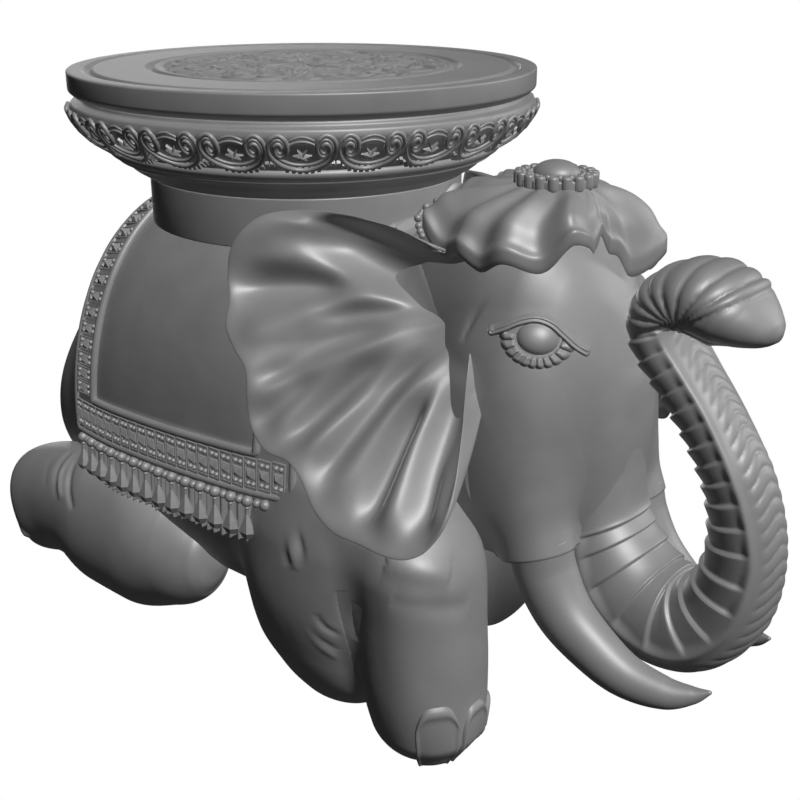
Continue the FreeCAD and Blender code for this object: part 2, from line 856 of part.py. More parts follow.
def fringe_form(outer, inner, upper, lower):
    """An upright wall that follows the cloth's outer face in plan, from one height to another."""
    level = size("cloth_hem_height") + size("cloth_hem_rise")
    walls = []
    for grow in (outer, inner):
        wire = torso_form(grow).slice(V(0, 0, 1), level)[0]
        wire.translate(V(0, 0, lower - level))
        walls.append(Part.Face(wire).extrude(V(0, 0, upper - lower)))
    return walls[0].cut(walls[1])


def hem_height(x):
    along = (x - cloth_rear_x) / (cloth_front_x - cloth_rear_x)
    return size("cloth_hem_height") + size("cloth_hem_rise") * along


def make_fringe(name, window_low, window_high, torso):
    lower = size("cloth_hem_height") - size("fringe_drop") * 2
    upper = size("cloth_hem_height") + size("fringe_drop") * 2
    outer = size("cloth_thickness")
    wall = feature(name + "_wall", fringe_form(outer, outer - size("fringe_proud"), upper, lower))
    strip = cut(name + "_strip", common(name + "_span", wall, window_low), window_high)
    side = doc.addObject("Part::Box", name + "_side")
    side.Label = name + "_side"
    side.setExpression("Length", "(sizes.rump_reach + sizes.chest_reach) * 2")
    side.setExpression("Width", "sizes.body_half_width * 2")
    side.setExpression("Height", "sizes.back_height * 2")
    side.setExpression("Placement.Base.x", "-sizes.rump_reach * 2")
    side.setExpression("Placement.Base.y", "-sizes.body_half_width * 2")
    return cut(name, common(name + "_half", strip, side), torso)


def side_line(grow, level_share, count):
    """Points on the right side of the torso's grown form, from the cloth's rear to its front, at a
    share of the way across its lower border."""
    form = torso_form(grow)
    points = []
    for number in range(count):
        x = cloth_rear_x + (cloth_front_x - cloth_rear_x) * (number + 0.5) / count
        z = hem_height(x) + size("border_width") * level_share
        points.append(surface_point(form, V(x, -size("seat_radius") * 2, z), V(x, 0, z)))
    return points


def surface_point(form, start, stop):
    """Where a line from outside first meets the form, and the direction out of it."""
    hit = form.common(Part.makeLine(start, stop))
    point = min((vertex.Point for vertex in hit.Vertexes), key=lambda p: (p - start).Length)
    probe = Part.Vertex(point)
    best = None
    for face in form.Faces:
        if face.distToShape(probe)[0] < size("glue_gap"):
            u, v = face.Surface.parameter(point)
            best = face.normalAt(u, v)
    if best is None:
        best = start - stop
        best.normalize()
    return point, best


GEMS_LOW = 18
GEMS_UP = 13
BEADS = 15


def pyramid(place, outward, upward, half):
    """A cut stone: a square base let into the band and four slopes to a point."""
    across = upward.cross(outward)
    across.normalize()
    rise = outward.cross(across)
    base = place - outward * (half * 0.3)
    corners = [base + across * (half * sx) + rise * (half * sy)
               for sx, sy in ((-1, -1), (1, -1), (1, 1), (-1, 1))]
    tip = place + outward * (half * 0.7)
    faces = [Part.Face(Part.makePolygon(corners + corners[:1]))]
    for number in range(4):
        edge = [corners[number], corners[(number + 1) % 4], tip]
        faces.append(Part.Face(Part.makePolygon(edge + edge[:1])))
    solid = Part.Solid(Part.Shell(faces))
    if solid.Volume < 0:
        solid.reverse()
    return solid


def border_gems():
    """One stone in each cell of the border: along the hem, and up the rear and front edges."""
    grow = size("cloth_thickness") + size("border_proud")
    half = size("border_width") * 0.14
    form = torso_form(grow)
    stones = []
    for point, outward in side_line(grow, 0.5, GEMS_LOW):
        stones.append(pyramid(point, outward, V(0, 0, 1), half))
    for x in (cloth_rear_x + size("border_width") / 2, cloth_front_x - size("border_width") / 2):
        reach = size("back_height") - hem_height(x) - size("border_width") * 2
        for number in range(GEMS_UP):
            z = hem_height(x) + size("border_width") * 1.25 + reach * number / (GEMS_UP - 1) * 0.9
            start = V(x, -size("seat_radius") * 2, z)
            point, outward = surface_point(form, start, V(x, 0, z))
            clear = math.hypot(point.x, point.y) > size("drum_radius") + half * 2
            under_ear = x > 0 and point.z > size("ear_foot") + size("ear_height") * 0.2
            if (clear or point.z < drum_bottom - half * 2) and not under_ear:
                stones.append(pyramid(point, outward, V(1, 0, 0), half))
    left = [stone.mirror(V(0, 0, 0), V(0, 1, 0)) for stone in stones]
    return Part.Compound(stones + left)


def fringe_beads():
    """A round bead under the hem above each drop."""
    beads = []
    for point, outward in side_line(size("cloth_thickness"), 0, BEADS):
        centre = point + V(0, -1, 0) * size("bead_radius") - V(0, 0, 1) * size("bead_radius") * 1.6
        beads.append(Part.makeSphere(size("bead_radius") * 1.7, centre))
    return Part.Compound(beads)


def fringe_drops():
    """A faceted drop that hangs below each bead: two square pyramids base to base."""
    drops = []
    for point, outward in side_line(size("cloth_thickness"), 0, BEADS):
        upper = point.z - size("bead_radius") * 3.5
        middle = point.z - size("fringe_drop") * 0.52
        lower = point.z - size("fringe_drop") * 0.8
        half = size("bead_radius") * 1.6
        centre = V(point.x, point.y - size("bead_radius"), middle)
        ring = [centre + V(half, 0, 0), centre + V(0, half, 0), centre - V(half, 0, 0),
                centre - V(0, half, 0)]
        tips = (V(centre.x, centre.y, upper), V(centre.x, centre.y, lower))
        faces = []
        for tip in tips:
            for number in range(4):
                edge = [ring[number], ring[(number + 1) % 4], tip]
                faces.append(Part.Face(Part.makePolygon(edge + edge[:1])))
        solid = Part.Solid(Part.Shell(faces))
        if solid.Volume < 0:
            solid.reverse()
        drops.append(solid)
    return Part.Compound(drops)


def ring_of(shape, count, radius, height):
    """Copies of a shape in a ring round the medallion's axis."""
    axis_x = head_x - size("medallion_setback")
    copies = []
    for number in range(count):
        copy = shape.copy()
        turn = 2 * math.pi * number / count
        copy.translate(V(axis_x + radius * math.cos(turn), radius * math.sin(turn), height))
        copies.append(copy)
    return Part.Compound(copies)


PETALS = 15
RING_BEADS = 22


def make_medallion():
    axis = "sizes.chest_reach + sizes.head_overhang - sizes.medallion_setback"
    crown = "(sizes.head_height + sizes.headcloth_thickness)"
    disc = cylinder("medallion_plate", "sizes.medallion_radius", "sizes.medallion_height",
                    x=axis, z=crown + " - sizes.medallion_height * 0.5")
    boss = doc.addObject("Part::Ellipsoid", "cabochon_blank")
    boss.Label = "cabochon_blank"
    boss.setExpression("Radius1", "sizes.cabochon_height - sizes.medallion_height / 2")
    boss.setExpression("Radius2", "sizes.cabochon_radius")
    boss.setExpression("Radius3", "sizes.cabochon_radius")
    boss.setExpression("Placement.Base.x", axis)
    boss.setExpression("Placement.Base.z", crown + " + sizes.medallion_height * 0.5")
    top = size("head_height") + size("headcloth_thickness") + size("medallion_height") / 2
    beads = feature("bead_ring_blank", ring_of(Part.makeSphere(size("bead_radius")), RING_BEADS,
                    size("cabochon_radius") + size("bead_radius"), top))
    petals = feature("petal_ring_blank", ring_of(Part.makeSphere(size("petal_radius")), PETALS,
                     size("medallion_radius") - size("petal_radius"), top))
    return [
        disc,
        cut("cabochon", boss, disc),
        cut("bead_ring", beads, disc, boss),
        cut("petal_ring", petals, disc, beads),
    ]


def toenail_form():
    """Three arched nails round the front of a foot."""
    nails = []
    stem = V(foreleg_x, -leg_y, 0)
    for turn in (-0.45, -1.35, 0.45):
        direction = V(math.cos(turn), math.sin(turn), 0)
        matrix = FreeCAD.Matrix()
        matrix.scale(size("toenail_proud") * 2, size("toenail_width") / 2, size("toenail_height"))
        nail = Part.makeSphere(1).transformGeometry(matrix)
        nail.rotate(V(0, 0, 0), V(0, 0, 1), math.degrees(turn))
        nail.translate(stem + direction * size("foot_radius") * 0.86)
        nails.append(nail)
    slab = Part.makeBox(size("foot_radius") * 4, size("foot_radius") * 4, size("toenail_height") * 2,
                        stem - V(size("foot_radius") * 2, size("foot_radius") * 2, 0))
    return Part.Compound([nail.common(slab) for nail in nails])


def tail_form():
    """A rope of a tail that lies down the middle of the rump."""
    foot = size("back_height") * 0.36
    points = []
    for share, back in ((0.00, 0.955), (0.30, 0.992), (0.60, 1.000), (0.85, 0.992), (1.00, 0.975)):
        z = foot + size("tail_length") * (1 - share) * 0.8
        points.append(V(rump_x * back, 0, z))
    radii = [size("tail_radius") * share for share in (0.5, 0.9, 0.8, 1.1, 0.3)]
    return swept_form(points, radii, radii, 2.0)


def leg_dowel(name, x, z):
    dowel = cylinder(name, "sizes.leg_dowel_radius", "sizes.leg_dowel_length", x=x,
                     y="-(sizes.body_half_width - sizes.leg_inset) - sizes.foot_radius / 4", z=z)
    dowel.Placement.Rotation = FreeCAD.Rotation(V(1, 0, 0), -90)
    return dowel


def make_dowels():
    """Dowels that join the carved blocks: two for each pair of legs and one in the neck."""
    fore = leg_dowel("right_fore_dowel", "sizes.chest_reach - sizes.elbow_setback * 0.8",
                     "sizes.foreleg_height * 0.65")
    hind = leg_dowel("right_hind_dowel",
                     "sizes.chest_reach - sizes.hind_knee_setback - sizes.hind_length / 2",
                     "sizes.hind_half_height * 1.4")
    neck = cylinder("neck_dowel", "sizes.neck_dowel_radius", "sizes.neck_dowel_length",
                    x="sizes.chest_reach - sizes.neck_dowel_length * 0.6",
                    z="sizes.head_height * 0.66")
    neck.Placement.Rotation = FreeCAD.Rotation(V(0, 1, 0), 90)
    return fore, mirrored("left_fore_dowel", fore), hind, mirrored("left_hind_dowel", hind), neck


def make_face(torso_blank, neck):
    """Head with its tusk sheaths, the tusks with their tenons, the trunk and the eyes."""
    skull = feature("head_blank", head_form())
    sheath = feature("right_sheath", sheath_form())
    whole = fuse("head_whole", skull, sheath, mirrored("left_sheath", sheath))
    tenon = cylinder("right_tusk_tenon", "sizes.tusk_tenon_radius", "sizes.tusk_tenon_length",
                     x="sizes.chest_reach + sizes.head_overhang - sizes.tusk_overhang * 0.35",
                     y="-sizes.tusk_spread", z="sizes.tusk_height * 0.93")
    trunk_dowel = cylinder("trunk_dowel", "sizes.neck_dowel_radius", "sizes.neck_dowel_length",
                           x="sizes.chest_reach + sizes.head_overhang - sizes.trunk_overhang * 0.5",
                           z="sizes.trunk_rise * 0.5")
    ear = feature("right_ear_blank", ear_form())
    head = cut("head", whole, torso_blank, neck, tenon, mirrored("left_tusk_tenon", tenon),
               trunk_dowel)
    trunk = cut("trunk", feature("trunk_blank", trunk_form()), whole, trunk_dowel)
    tusk_body = cut("right_tusk_body", feature("right_tusk_blank", tusk_form()), whole)
    tusk = fuse("right_tusk", tusk_body, tenon)
    eye_blank = doc.addObject("Part::Ellipsoid", "right_eye_blank")
    eye_blank.Label = "right_eye_blank"
    eye_blank.setExpression("Radius1", "sizes.eye_height / 2")
    eye_blank.setExpression("Radius2", "sizes.eye_length / 2")
    eye_blank.setExpression("Radius3", "sizes.eye_bulge")
    eye_blank.Placement.Rotation = FreeCAD.Rotation(V(0, 0, 1), -24)
    eye_blank.setExpression("Placement.Base.x",
                            "sizes.chest_reach + sizes.head_overhang * 0.58")
    eye_blank.setExpression("Placement.Base.y", "-sizes.head_half_width * 0.70")
    eye_blank.setExpression("Placement.Base.z", "sizes.head_height * 0.79")
    eye = cut("right_eye", eye_blank, whole)
    return whole, ear, [head, trunk, trunk_dowel, tusk, mirrored("left_tusk", tusk), eye,
                        mirrored("left_eye", eye)]


def make_ears(ear, whole, headcloth_blank, cover):
    well = cylinder("ear_well", "sizes.drum_radius + sizes.glue_gap", "sizes.drum_height * 2",
                    z=DRUM_BOTTOM)
    right = cut("right_ear", ear, whole, headcloth_blank, well, cover)
    return [right, mirrored("left_ear", right)]


def make_headcloth(whole):
    blank = feature("headcloth_blank", headcloth_form())
    medallion = make_medallion()
    cloth = cut("headcloth", blank, whole, medallion[0])
    return blank, [cloth] + medallion


def make_saddlecloth(torso_blank):
    """The cloth, the band round its border with a cord on each side, and the fringe."""
    windows = [
        cloth_window("cloth_edge", "0", "0"),
        cloth_window("cord_edge", "sizes.cord_width", "0"),
        cloth_window("band_edge", "(sizes.border_width - sizes.cord_width)", "0"),
        cloth_window("field_edge", "sizes.border_width", "0"),
    ]
    thick = size("cloth_thickness")
    cord = thick + size("cord_proud")
    band = thick + size("border_proud")
    cloth = cloth_layer("saddlecloth", thick, 0, windows[0])
    outer = cloth_layer("border_outer_cord", cord, thick, windows[0], windows[1])
    middle = cloth_layer("border_band", band, thick, windows[1], windows[2])
    inner = cloth_layer("border_inner_cord", cord, thick, windows[2], windows[3])
    cover = common("cloth_cover", feature("cloth_cover_form", torso_form(cord)), windows[0])
    return windows, cover, [cloth, outer, middle, inner]


def make_fringes(window, torso_blank, borders):
    low = cloth_window("fringe_edge", "0", "sizes.fringe_drop")
    strip = make_fringe("right_fringe", low, window, torso_blank)
    beads = cut("right_fringe_beads", feature("right_bead_row", fringe_beads()), strip)
    drops = cut("right_fringe_drops", feature("right_drop_row", fringe_drops()), strip, beads)
    gems = cut("border_gems", feature("gem_rows", border_gems()), *borders)
    pieces = [strip, beads, drops]
    lefts = [mirrored(piece.Label.replace("right_", "left_"), piece) for piece in pieces]
    deep = size("cloth_thickness") + size("bead_radius") * 5
    room_wall = feature("fringe_room_wall", fringe_form(deep, 0, size("cloth_hem_height") * 2, 0))
    room = common("fringe_room", room_wall, low)
    return room, pieces + lefts + [gems]


def make_legs(torso_blank, whole, covers, dowels):
    fore_blank = feature("right_foreleg_blank",
                         standing_form(FORELEG_SHARES, foreleg_x, size("foot_radius")))
    elbow_x = size("chest_reach") - size("elbow_setback")
    elbow_blank = feature("right_elbow_blank",
                          standing_form(ELBOW_SHARES, elbow_x, size("elbow_length")))
    limb = fuse("right_limb", fore_blank, elbow_blank)
    fore = cut("right_foreleg", limb, torso_blank, whole, dowels[0], *covers)
    nails = cut("right_toenails", feature("right_nail_row", toenail_form()), fore)
    hind_blank = feature("right_hindleg_blank", hind_form())
    hind = cut("right_hindleg", hind_blank, torso_blank, dowels[2], *covers)
    pieces = [fore, nails, hind]
    return pieces + [mirrored(piece.Label.replace("right_", "left_"), piece) for piece in pieces]


def main():
    os.makedirs("parts", exist_ok=True)
    dowels = list(make_dowels())
    torso_blank, torso_bored = make_torso()
    torso = cut("torso", torso_bored, *dowels)
    drum = make_drum()
    nodes = [make_seat_top(), make_seat_bowl(), make_seat_moulding(), drum, make_seat_dowel()]
    whole, ear, face = make_face(torso_blank, dowels[4])
    windows, cover, cloths = make_saddlecloth(torso_blank)
    nodes += face + cloths + dowels
    headcloth_blank, headdress = make_headcloth(whole)
    nodes += headdress
    fringe_room, fringes = make_fringes(windows[0], torso_blank, cloths[1:])
    nodes += fringes
    nodes += make_legs(torso_blank, whole, [cover, fringe_room], dowels)
    nodes += make_ears(ear, whole, headcloth_blank, cover)
    tail = cut("tail", feature("tail_blank", tail_form()), torso_blank)
    nodes += [torso, tail]
    doc.recompute()
    write(nodes)


def write(nodes):
    """Writes each piece, once every object of the document is sound."""
    for item in doc.Objects:
        faults = [state for state in item.State if state in ("Invalid", "Error")]
        if faults:
            raise RuntimeError("%s is %s" % (item.Label, faults))
    for node in nodes:
        shape = node.Shape
        if shape.isNull() or not shape.isValid() or not shape.Solids:
            raise RuntimeError("%s has no sound shape" % node.Label)
        print("%-22s %2d solids %11.0f cubic mm" % (node.Label, len(shape.Solids), shape.Volume))
    for node in nodes:
        node.Shape.exportStep("parts/%s.step" % node.Label)
    print(len(nodes), "pieces")


main()
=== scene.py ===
import bpy
import numpy as np
from mathutils import Matrix, Vector


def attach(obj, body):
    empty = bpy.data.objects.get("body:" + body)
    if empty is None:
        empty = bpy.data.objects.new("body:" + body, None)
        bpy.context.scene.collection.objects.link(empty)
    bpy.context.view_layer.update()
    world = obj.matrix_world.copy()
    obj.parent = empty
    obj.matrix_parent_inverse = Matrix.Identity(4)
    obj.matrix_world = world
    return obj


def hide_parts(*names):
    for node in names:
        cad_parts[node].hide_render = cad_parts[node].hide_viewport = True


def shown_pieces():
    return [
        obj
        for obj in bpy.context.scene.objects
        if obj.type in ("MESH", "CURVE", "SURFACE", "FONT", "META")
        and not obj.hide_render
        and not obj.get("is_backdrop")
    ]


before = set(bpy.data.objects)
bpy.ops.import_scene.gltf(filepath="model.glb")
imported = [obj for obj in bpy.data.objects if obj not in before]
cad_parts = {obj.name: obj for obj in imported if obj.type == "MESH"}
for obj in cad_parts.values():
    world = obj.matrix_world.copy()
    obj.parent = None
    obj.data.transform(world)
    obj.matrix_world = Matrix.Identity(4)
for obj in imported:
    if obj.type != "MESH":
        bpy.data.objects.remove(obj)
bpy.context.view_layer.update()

# Carved elephant stool, in one frame with the solids: the elephant looks along +X, the seat turns
# about the Z axis, the floor is z = 0. Tables are in millimetres, meshes in metres.
MM = 0.001
PI = np.pi
WOOD, CLOTH_WOOD, CROWN_WOOD, SEAT_WOOD = ("elephant_wood", "cloth_carving", "medallion_carving",
                                           "seat_wood")


# ---- curves and sections

def full_turn(count):
    return np.linspace(0, 2 * PI, count, endpoint=False)


def bell(x, width):
    """A bell curve, 1 in its middle: exp(-(x / width)^2)."""
    return np.exp(-(x / width) ** 2)


def hermite(x, y, tangent, places):
    """Cubic reading between rows y at the places x, with the tangent given for each row."""
    k = np.clip(np.searchsorted(x, places) - 1, 0, len(x) - 2)
    h = (x[k + 1] - x[k])[:, None]
    t = np.clip((places - x[k])[:, None] / h, 0, 1)
    return ((1 + 2 * t) * (1 - t) ** 2 * y[k] + t * (1 - t) ** 2 * h * tangent[k]
            + t * t * (3 - 2 * t) * y[k + 1] + t * t * (t - 1) * h * tangent[k + 1])


def smooth_rows(table, places):
    """Monotone cubic reading of a table by its first column, all columns at once."""
    table = np.asarray(table, float)
    x, y = table[:, 0], table[:, 1:]
    h = np.diff(x)[:, None]
    slope = np.diff(y, axis=0) / h
    before, after = slope[:-1], slope[1:]
    w1, w2 = 2 * h[1:] + h[:-1], h[1:] + 2 * h[:-1]
    same = before * after > 0
    mean = (w1 + w2) / (w1 / np.where(same, before, 1) + w2 / np.where(same, after, 1))
    tangent = np.concatenate([slope[:1], np.where(same, mean, 0), slope[-1:]])
    return hermite(x, y, tangent, places)


def unit(v):
    return v / np.maximum(np.linalg.norm(v, axis=-1, keepdims=True), 1e-9)


def chord_places(points):
    steps = np.linalg.norm(np.diff(points, axis=0), axis=1)
    return np.concatenate([[0], np.cumsum(steps)])


def smooth_path(points, count):
    """Points evenly along a rounded path: a Catmull-Rom style reading of the given points."""
    points = np.asarray(points, float)
    places = chord_places(points)
    here = np.arange(len(points))
    ahead, behind = np.minimum(here + 1, here[-1]), np.maximum(here - 1, 0)
    tangent = (points[ahead] - points[behind]) / (places[ahead] - places[behind])[:, None]
    return hermite(places, points, tangent, np.linspace(0, places[-1], count))


def section_reach(c, s, w, h, n):
    """Reach of a superellipse in the direction (c, s): (|c/w|^n + |s/h|^n) to the power -1/n."""
    return ((np.abs(c) / w) ** n + (np.abs(s) / h) ** n) ** (-1 / n)


class Form:
    """A body form: superellipse sections along a line. Each station has a centre, a direction
    across, a direction up, a half width, half heights above and below, and an exponent. A
    straight line also gives the number of its axis and its stations' places there."""

    def __init__(self, centre, across, up, half_width, half_up, half_down, power, along=None):
        self.centre, self.across, self.up = centre, across, up
        self.half_width, self.half_up, self.half_down = half_width, half_up, half_down
        self.power, self.along = power, along

    def radius(self, station, turn):
        """Distance from the centre to the section's edge at a turn."""
        h = np.where(np.sin(turn) > 0, self.half_up[station], self.half_down[station])
        return section_reach(np.cos(turn), np.sin(turn), self.half_width[station], h,
                             self.power[station])

    def point(self, station, turn, r):
        """The point at a distance from a station's centre: centre + r (cos across + sin up)."""
        r = r[..., None]
        return (self.centre[station] + r * np.cos(turn)[..., None] * self.across[station]
                + r * np.sin(turn)[..., None] * self.up[station])

    def grid(self, rows, columns):
        """A grid over the whole form, each ring from below: its points, the middle beside each,
        the share of the line's length at each row and the turn of each column."""
        last = len(self.centre) - 1
        stations = np.unique(np.linspace(0, last, rows).astype(int))
        turns = full_turn(columns) - PI / 2
        station, turn = np.meshgrid(stations, turns, indexing="ij")
        points = self.point(station, turn, self.radius(station, turn))
        return points, self.centre[station], stations[:, None] / last, turns[None]

    def place_of(self, p):
        """The place along the form's line beside each point, as a station with its fraction."""
        last = len(self.centre) - 1
        if self.along is not None:
            axis, values = self.along
            return np.clip((p[:, axis] - values[0]) / (values[-1] - values[0]) * last, 0, last)
        best = np.full(len(p), np.inf)
        found = np.zeros(len(p), int)
        for first in range(0, last + 1, 4):
            gap = ((p - self.centre[first]) ** 2).sum(1)
            closer = gap < best
            best[closer] = gap[closer]
            found[closer] = first
        direction = np.gradient(self.centre, axis=0)
        place = found.astype(float)
        for _ in range(3):
            k = place.astype(int)
            step = direction[k]
            place = place + (((p - self.at(self.centre, place)) * step).sum(1)
                             / np.maximum((step * step).sum(1), 1e-9))
            place = np.clip(place, 0, last)
        return place

    def at(self, rows, place):
        """Rows of a table of stations read in between two of them."""
        k = np.minimum(place.astype(int), len(rows) - 2)
        w = place - k
        if rows.ndim > 1:
            w = w[:, None]
        return rows[k] * (1 - w) + rows[k + 1] * w

    def field(self, p):
        """About the distance from the form's surface, positive outside it."""
        place = self.place_of(p)
        q = p - self.at(self.centre, place)
        across, up = self.at(self.across, place), self.at(self.up, place)
        a, b = (q * across).sum(1), (q * up).sum(1)
        length = np.maximum(np.hypot(a, b), 1e-6)
        h = np.where(b > 0, self.at(self.half_up, place), self.at(self.half_down, place))
        flat = length - section_reach(a / length, b / length, self.at(self.half_width, place), h,
                                      self.at(self.power, place))
        end = np.linalg.norm(q - a[:, None] * across - b[:, None] * up, axis=1)
        return np.where(end > 0.5, np.hypot(np.maximum(flat, 0), end), flat)


STATIONS = 400


def form_along_x(table):
    """Columns: X, half width, top, bottom, height of the widest point, exponent."""
    x = np.linspace(table[0][0], table[-1][0], STATIONS)
    w, top, bottom, mid, n = smooth_rows(table, x).T
    ones = np.ones_like(x)
    centre = np.stack([x, 0 * x, mid], 1)
    return Form(centre, np.stack([0 * x, -ones, 0 * x], 1), np.stack([0 * x, 0 * x, ones], 1),
                w, top - mid, mid - bottom, n, along=(0, x))


def form_upright(table):
    """Columns: Z, centre X, centre Y, half length ahead, behind, half width, exponent."""
    z = np.linspace(table[0][0], table[-1][0], STATIONS)
    cx, cy, ahead, behind, w, n = smooth_rows(table, z).T
    ones = np.ones_like(z)
    return Form(np.stack([cx, cy, z], 1), np.stack([0 * z, -ones, 0 * z], 1),
                np.stack([ones, 0 * z, 0 * z], 1), w, ahead, behind, n, along=(2, z))


def form_swept(table, count=STATIONS):
    """Columns: X, Y, Z, half width across, half depth, exponent, along a rounded path."""
    table = np.asarray(table, float)
    centre = smooth_path(table[:, :3], count)
    places = chord_places(table[:, :3])
    u = np.linspace(0, places[-1], count)
    w, h, n = smooth_rows(np.column_stack([places, table[:, 3:6]]), u).T
    direction = unit(np.gradient(centre, axis=0))
    side = np.array([0.0, -1.0, 0.0])
    across = unit(side - direction * (direction @ side)[:, None])
    up = np.cross(direction, across)
    return Form(centre, across, up, w, h, h, n)


def soft_min(a, b, width):
    """The smaller of two distances with a rounded corner of the given width."""
    gap = np.maximum(width - np.abs(a - b), 0) / width
    return np.minimum(a, b) - gap * gap * width / 4


def mirrored(p):
    """Points or directions mirrored from one side of the figure to the other."""
    return np.asarray(p) * np.array([1.0, -1.0, 1.0])


def folded_right(p):
    """Points of the left side moved to their mirror image on the right."""
    return np.stack([p[..., 0], -np.abs(p[..., 1]), p[..., 2]], -1)


# How forms grow together: the longest step of a round and the share of it that is made; how far a
# covered point sinks and the depth over which it does; where points inside a neighbour begin to go
# back to their form and over what depth; and how far below the form's surface they end.
STEP_LIMIT, STEP_SHARE = 12, 0.8
SINK, SINK_OVER = 0.45, 6
DEEP, DEEP_OVER, DEEP_BELOW = 8, 10, 0.6


def grown_together(points, middle, own, others, rounds=6):
    """Moves a form's points out to the rounded union of it and its neighbours: each round steps
    along the line from the form's middle by the union's distance. Points that a neighbour covers
    sink a little below it, and deep inside it they go back to the form's own surface."""
    p = start = points.reshape(-1, 3)
    out = unit(p - middle.reshape(-1, 3))
    for _ in range(rounds):
        distance = own(p)
        for field, width in others:
            distance = soft_min(distance, field(p), width)
        p = p - out * np.clip(distance, -STEP_LIMIT, STEP_LIMIT)[:, None] * STEP_SHARE
    covered = np.min([field(start) for field, _ in others], axis=0)
    p = p - out * (SINK * ease(-covered / SINK_OVER))[:, None]
    inside = ease((-covered - DEEP) / DEEP_OVER)[:, None]
    return (p * (1 - inside) + (start - out * DEEP_BELOW) * inside).reshape(points.shape)


# ---- meshes

def add_mesh(name, vertices, quads, triangles=(), smooth=True):
    """A mesh in metres from millimetre points."""
    mesh = bpy.data.meshes.new(name)
    faces = np.asarray(quads).tolist() + np.asarray(triangles).tolist()
    mesh.from_pydata((np.asarray(vertices) * MM).tolist(), [], faces)
    mesh.update()
    mesh.polygons.foreach_set("use_smooth", np.full(len(mesh.polygons), smooth))
    piece = bpy.data.objects.new(name, mesh)
    bpy.context.scene.collection.objects.link(piece)
    return piece


def outwards(vertices, quads, fans=np.empty((0, 3), int)):
    """The same faces, turned over where their signed volume comes out negative."""
    a, b, c, d = (vertices[quads[:, i]] for i in range(4))
    if (np.cross(a, b) * c).sum() + (np.cross(a, c) * d).sum() < 0:
        quads, fans = quads[:, ::-1], fans[:, ::-1]
    return vertices, quads, fans


def capped(points, tips):
    """Vertices, quads and triangles from a grid of rings, with a fan over each end to its tip."""
    rows, columns = points.shape[:2]
    a = np.arange(rows * columns).reshape(rows, columns)
    b = np.roll(a, -1, 1)
    quads = np.stack([a[:-1], b[:-1], b[1:], a[1:]], -1).reshape(-1, 4)
    tip = np.full(columns, rows * columns)
    fans = np.concatenate([np.stack([tip, b[0], a[0]], 1), np.stack([tip + 1, a[-1], b[-1]], 1)])
    return outwards(np.concatenate([points.reshape(-1, 3), tips]), quads, fans)


def sheet(outer, inner):
    """Rings round a thick sheet, from the grids of its two faces."""
    return np.concatenate([outer, inner[:, ::-1]], 1)


def ring_grid(name, points):
    """A closed piece from a grid that joins up both ways, such as a thick ring."""
    a = np.arange(points[..., 0].size).reshape(points.shape[:2])
    b, c = np.roll(a, -1, 1), np.roll(a, -1, 0)
    quads = np.stack([a, b, np.roll(b, -1, 0), c], -1).reshape(-1, 4)
    return add_mesh(name, *outwards(points.reshape(-1, 3), quads))


def put(piece, slot, *nodes):
    """Hands a piece to the frame, hiding the CAD nodes that it replaces. The slot is not used."""
    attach(piece, "root")
    if nodes:
        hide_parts(*nodes)


def put_grid(name, points, slot, *nodes):
    """A closed piece from a grid of rings, with a fan of triangles over each end."""
    put(add_mesh(name, *capped(points, [points[0].mean(0), points[-1].mean(0)])), slot, *nodes)


def sided(side, names):
    return ["%s_%s" % (side, name) for name in names]


def both_sides(name, points, slot, *nodes):
    """The right piece from its points and the left one from their mirror image."""
    for side, placed in (("right", points), ("left", mirrored(points))):
        put_grid("%s_%s" % (side, name), placed, slot, *sided(side, nodes))


# ---- carving on a surface

def ease(t):
    """A rise from 0 to 1 with level ends."""
    t = np.clip(t, 0, 1)
    return t * t * (3 - 2 * t)


def line_distance(x, y, path):
    """Distance from flat points to a line of short straight pieces."""
    best = np.full(np.shape(x), np.inf)
    path = np.asarray(path, float)
    for (ax, ay), (bx, by) in zip(path, path[1:]):
        length = max((bx - ax) ** 2 + (by - ay) ** 2, 1e-9)
        t = np.clip(((x - ax) * (bx - ax) + (y - ay) * (by - ay)) / length, 0, 1)
        best = np.minimum(best, np.hypot(x - ax - t * (bx - ax), y - ay - t * (by - ay)))
    return best


def bead_line(distance, width, height):
    """A round-topped ridge beside a drawn line."""
    return height * np.sqrt(np.clip(1 - (distance / width) ** 2, 0, 1))


def scale_steps(place, lines):
    """How far a place is from one drawn line to the next, from 0 to 1."""
    lines = np.asarray(lines, float)
    k = np.clip(np.searchsorted(lines, place) - 1, 0, len(lines) - 2)
    return np.clip((place - lines[k]) / (lines[k + 1] - lines[k]), 0, 1)


def raised(points, middle, height):
    """Points moved out from the middle beside them by a height."""
    return points + unit(points - middle) * height[..., None]


def relief_along(q, lines, count, fade):
    """Ridges and valleys along drawn lines, read at so many points each: a bell over the distance
    from the line, faded by the share of its length. Rows hold width, height and points."""
    height = np.zeros(q.shape[:-1])
    for width, tall, path in lines:
        path = np.asarray(path, float)
        near = ((q > path.min(0) - 3 * width) & (q < path.max(0) + 3 * width)).all(-1)
        beside = q[near]
        gap, share = np.full(len(beside), np.inf), np.zeros(len(beside))
        for k, point in enumerate(smooth_path(path, count)):
            d = np.linalg.norm(beside - point, axis=1)
            closer = d < gap
            gap[closer], share[closer] = d[closer], k / (count - 1)
        height[near] += tall * fade(share) * bell(gap, width)
    return height


def scored(points, middle, lines):
    """Sinks or raises points beside lines drawn in space on the right, and on the left alike."""
    def fade(share):
        return np.sqrt(np.clip(4 * share * (1 - share), 0, 1))
    return raised(points, middle, relief_along(folded_right(points), lines, 24, fade))


# ---- small shapes set many times

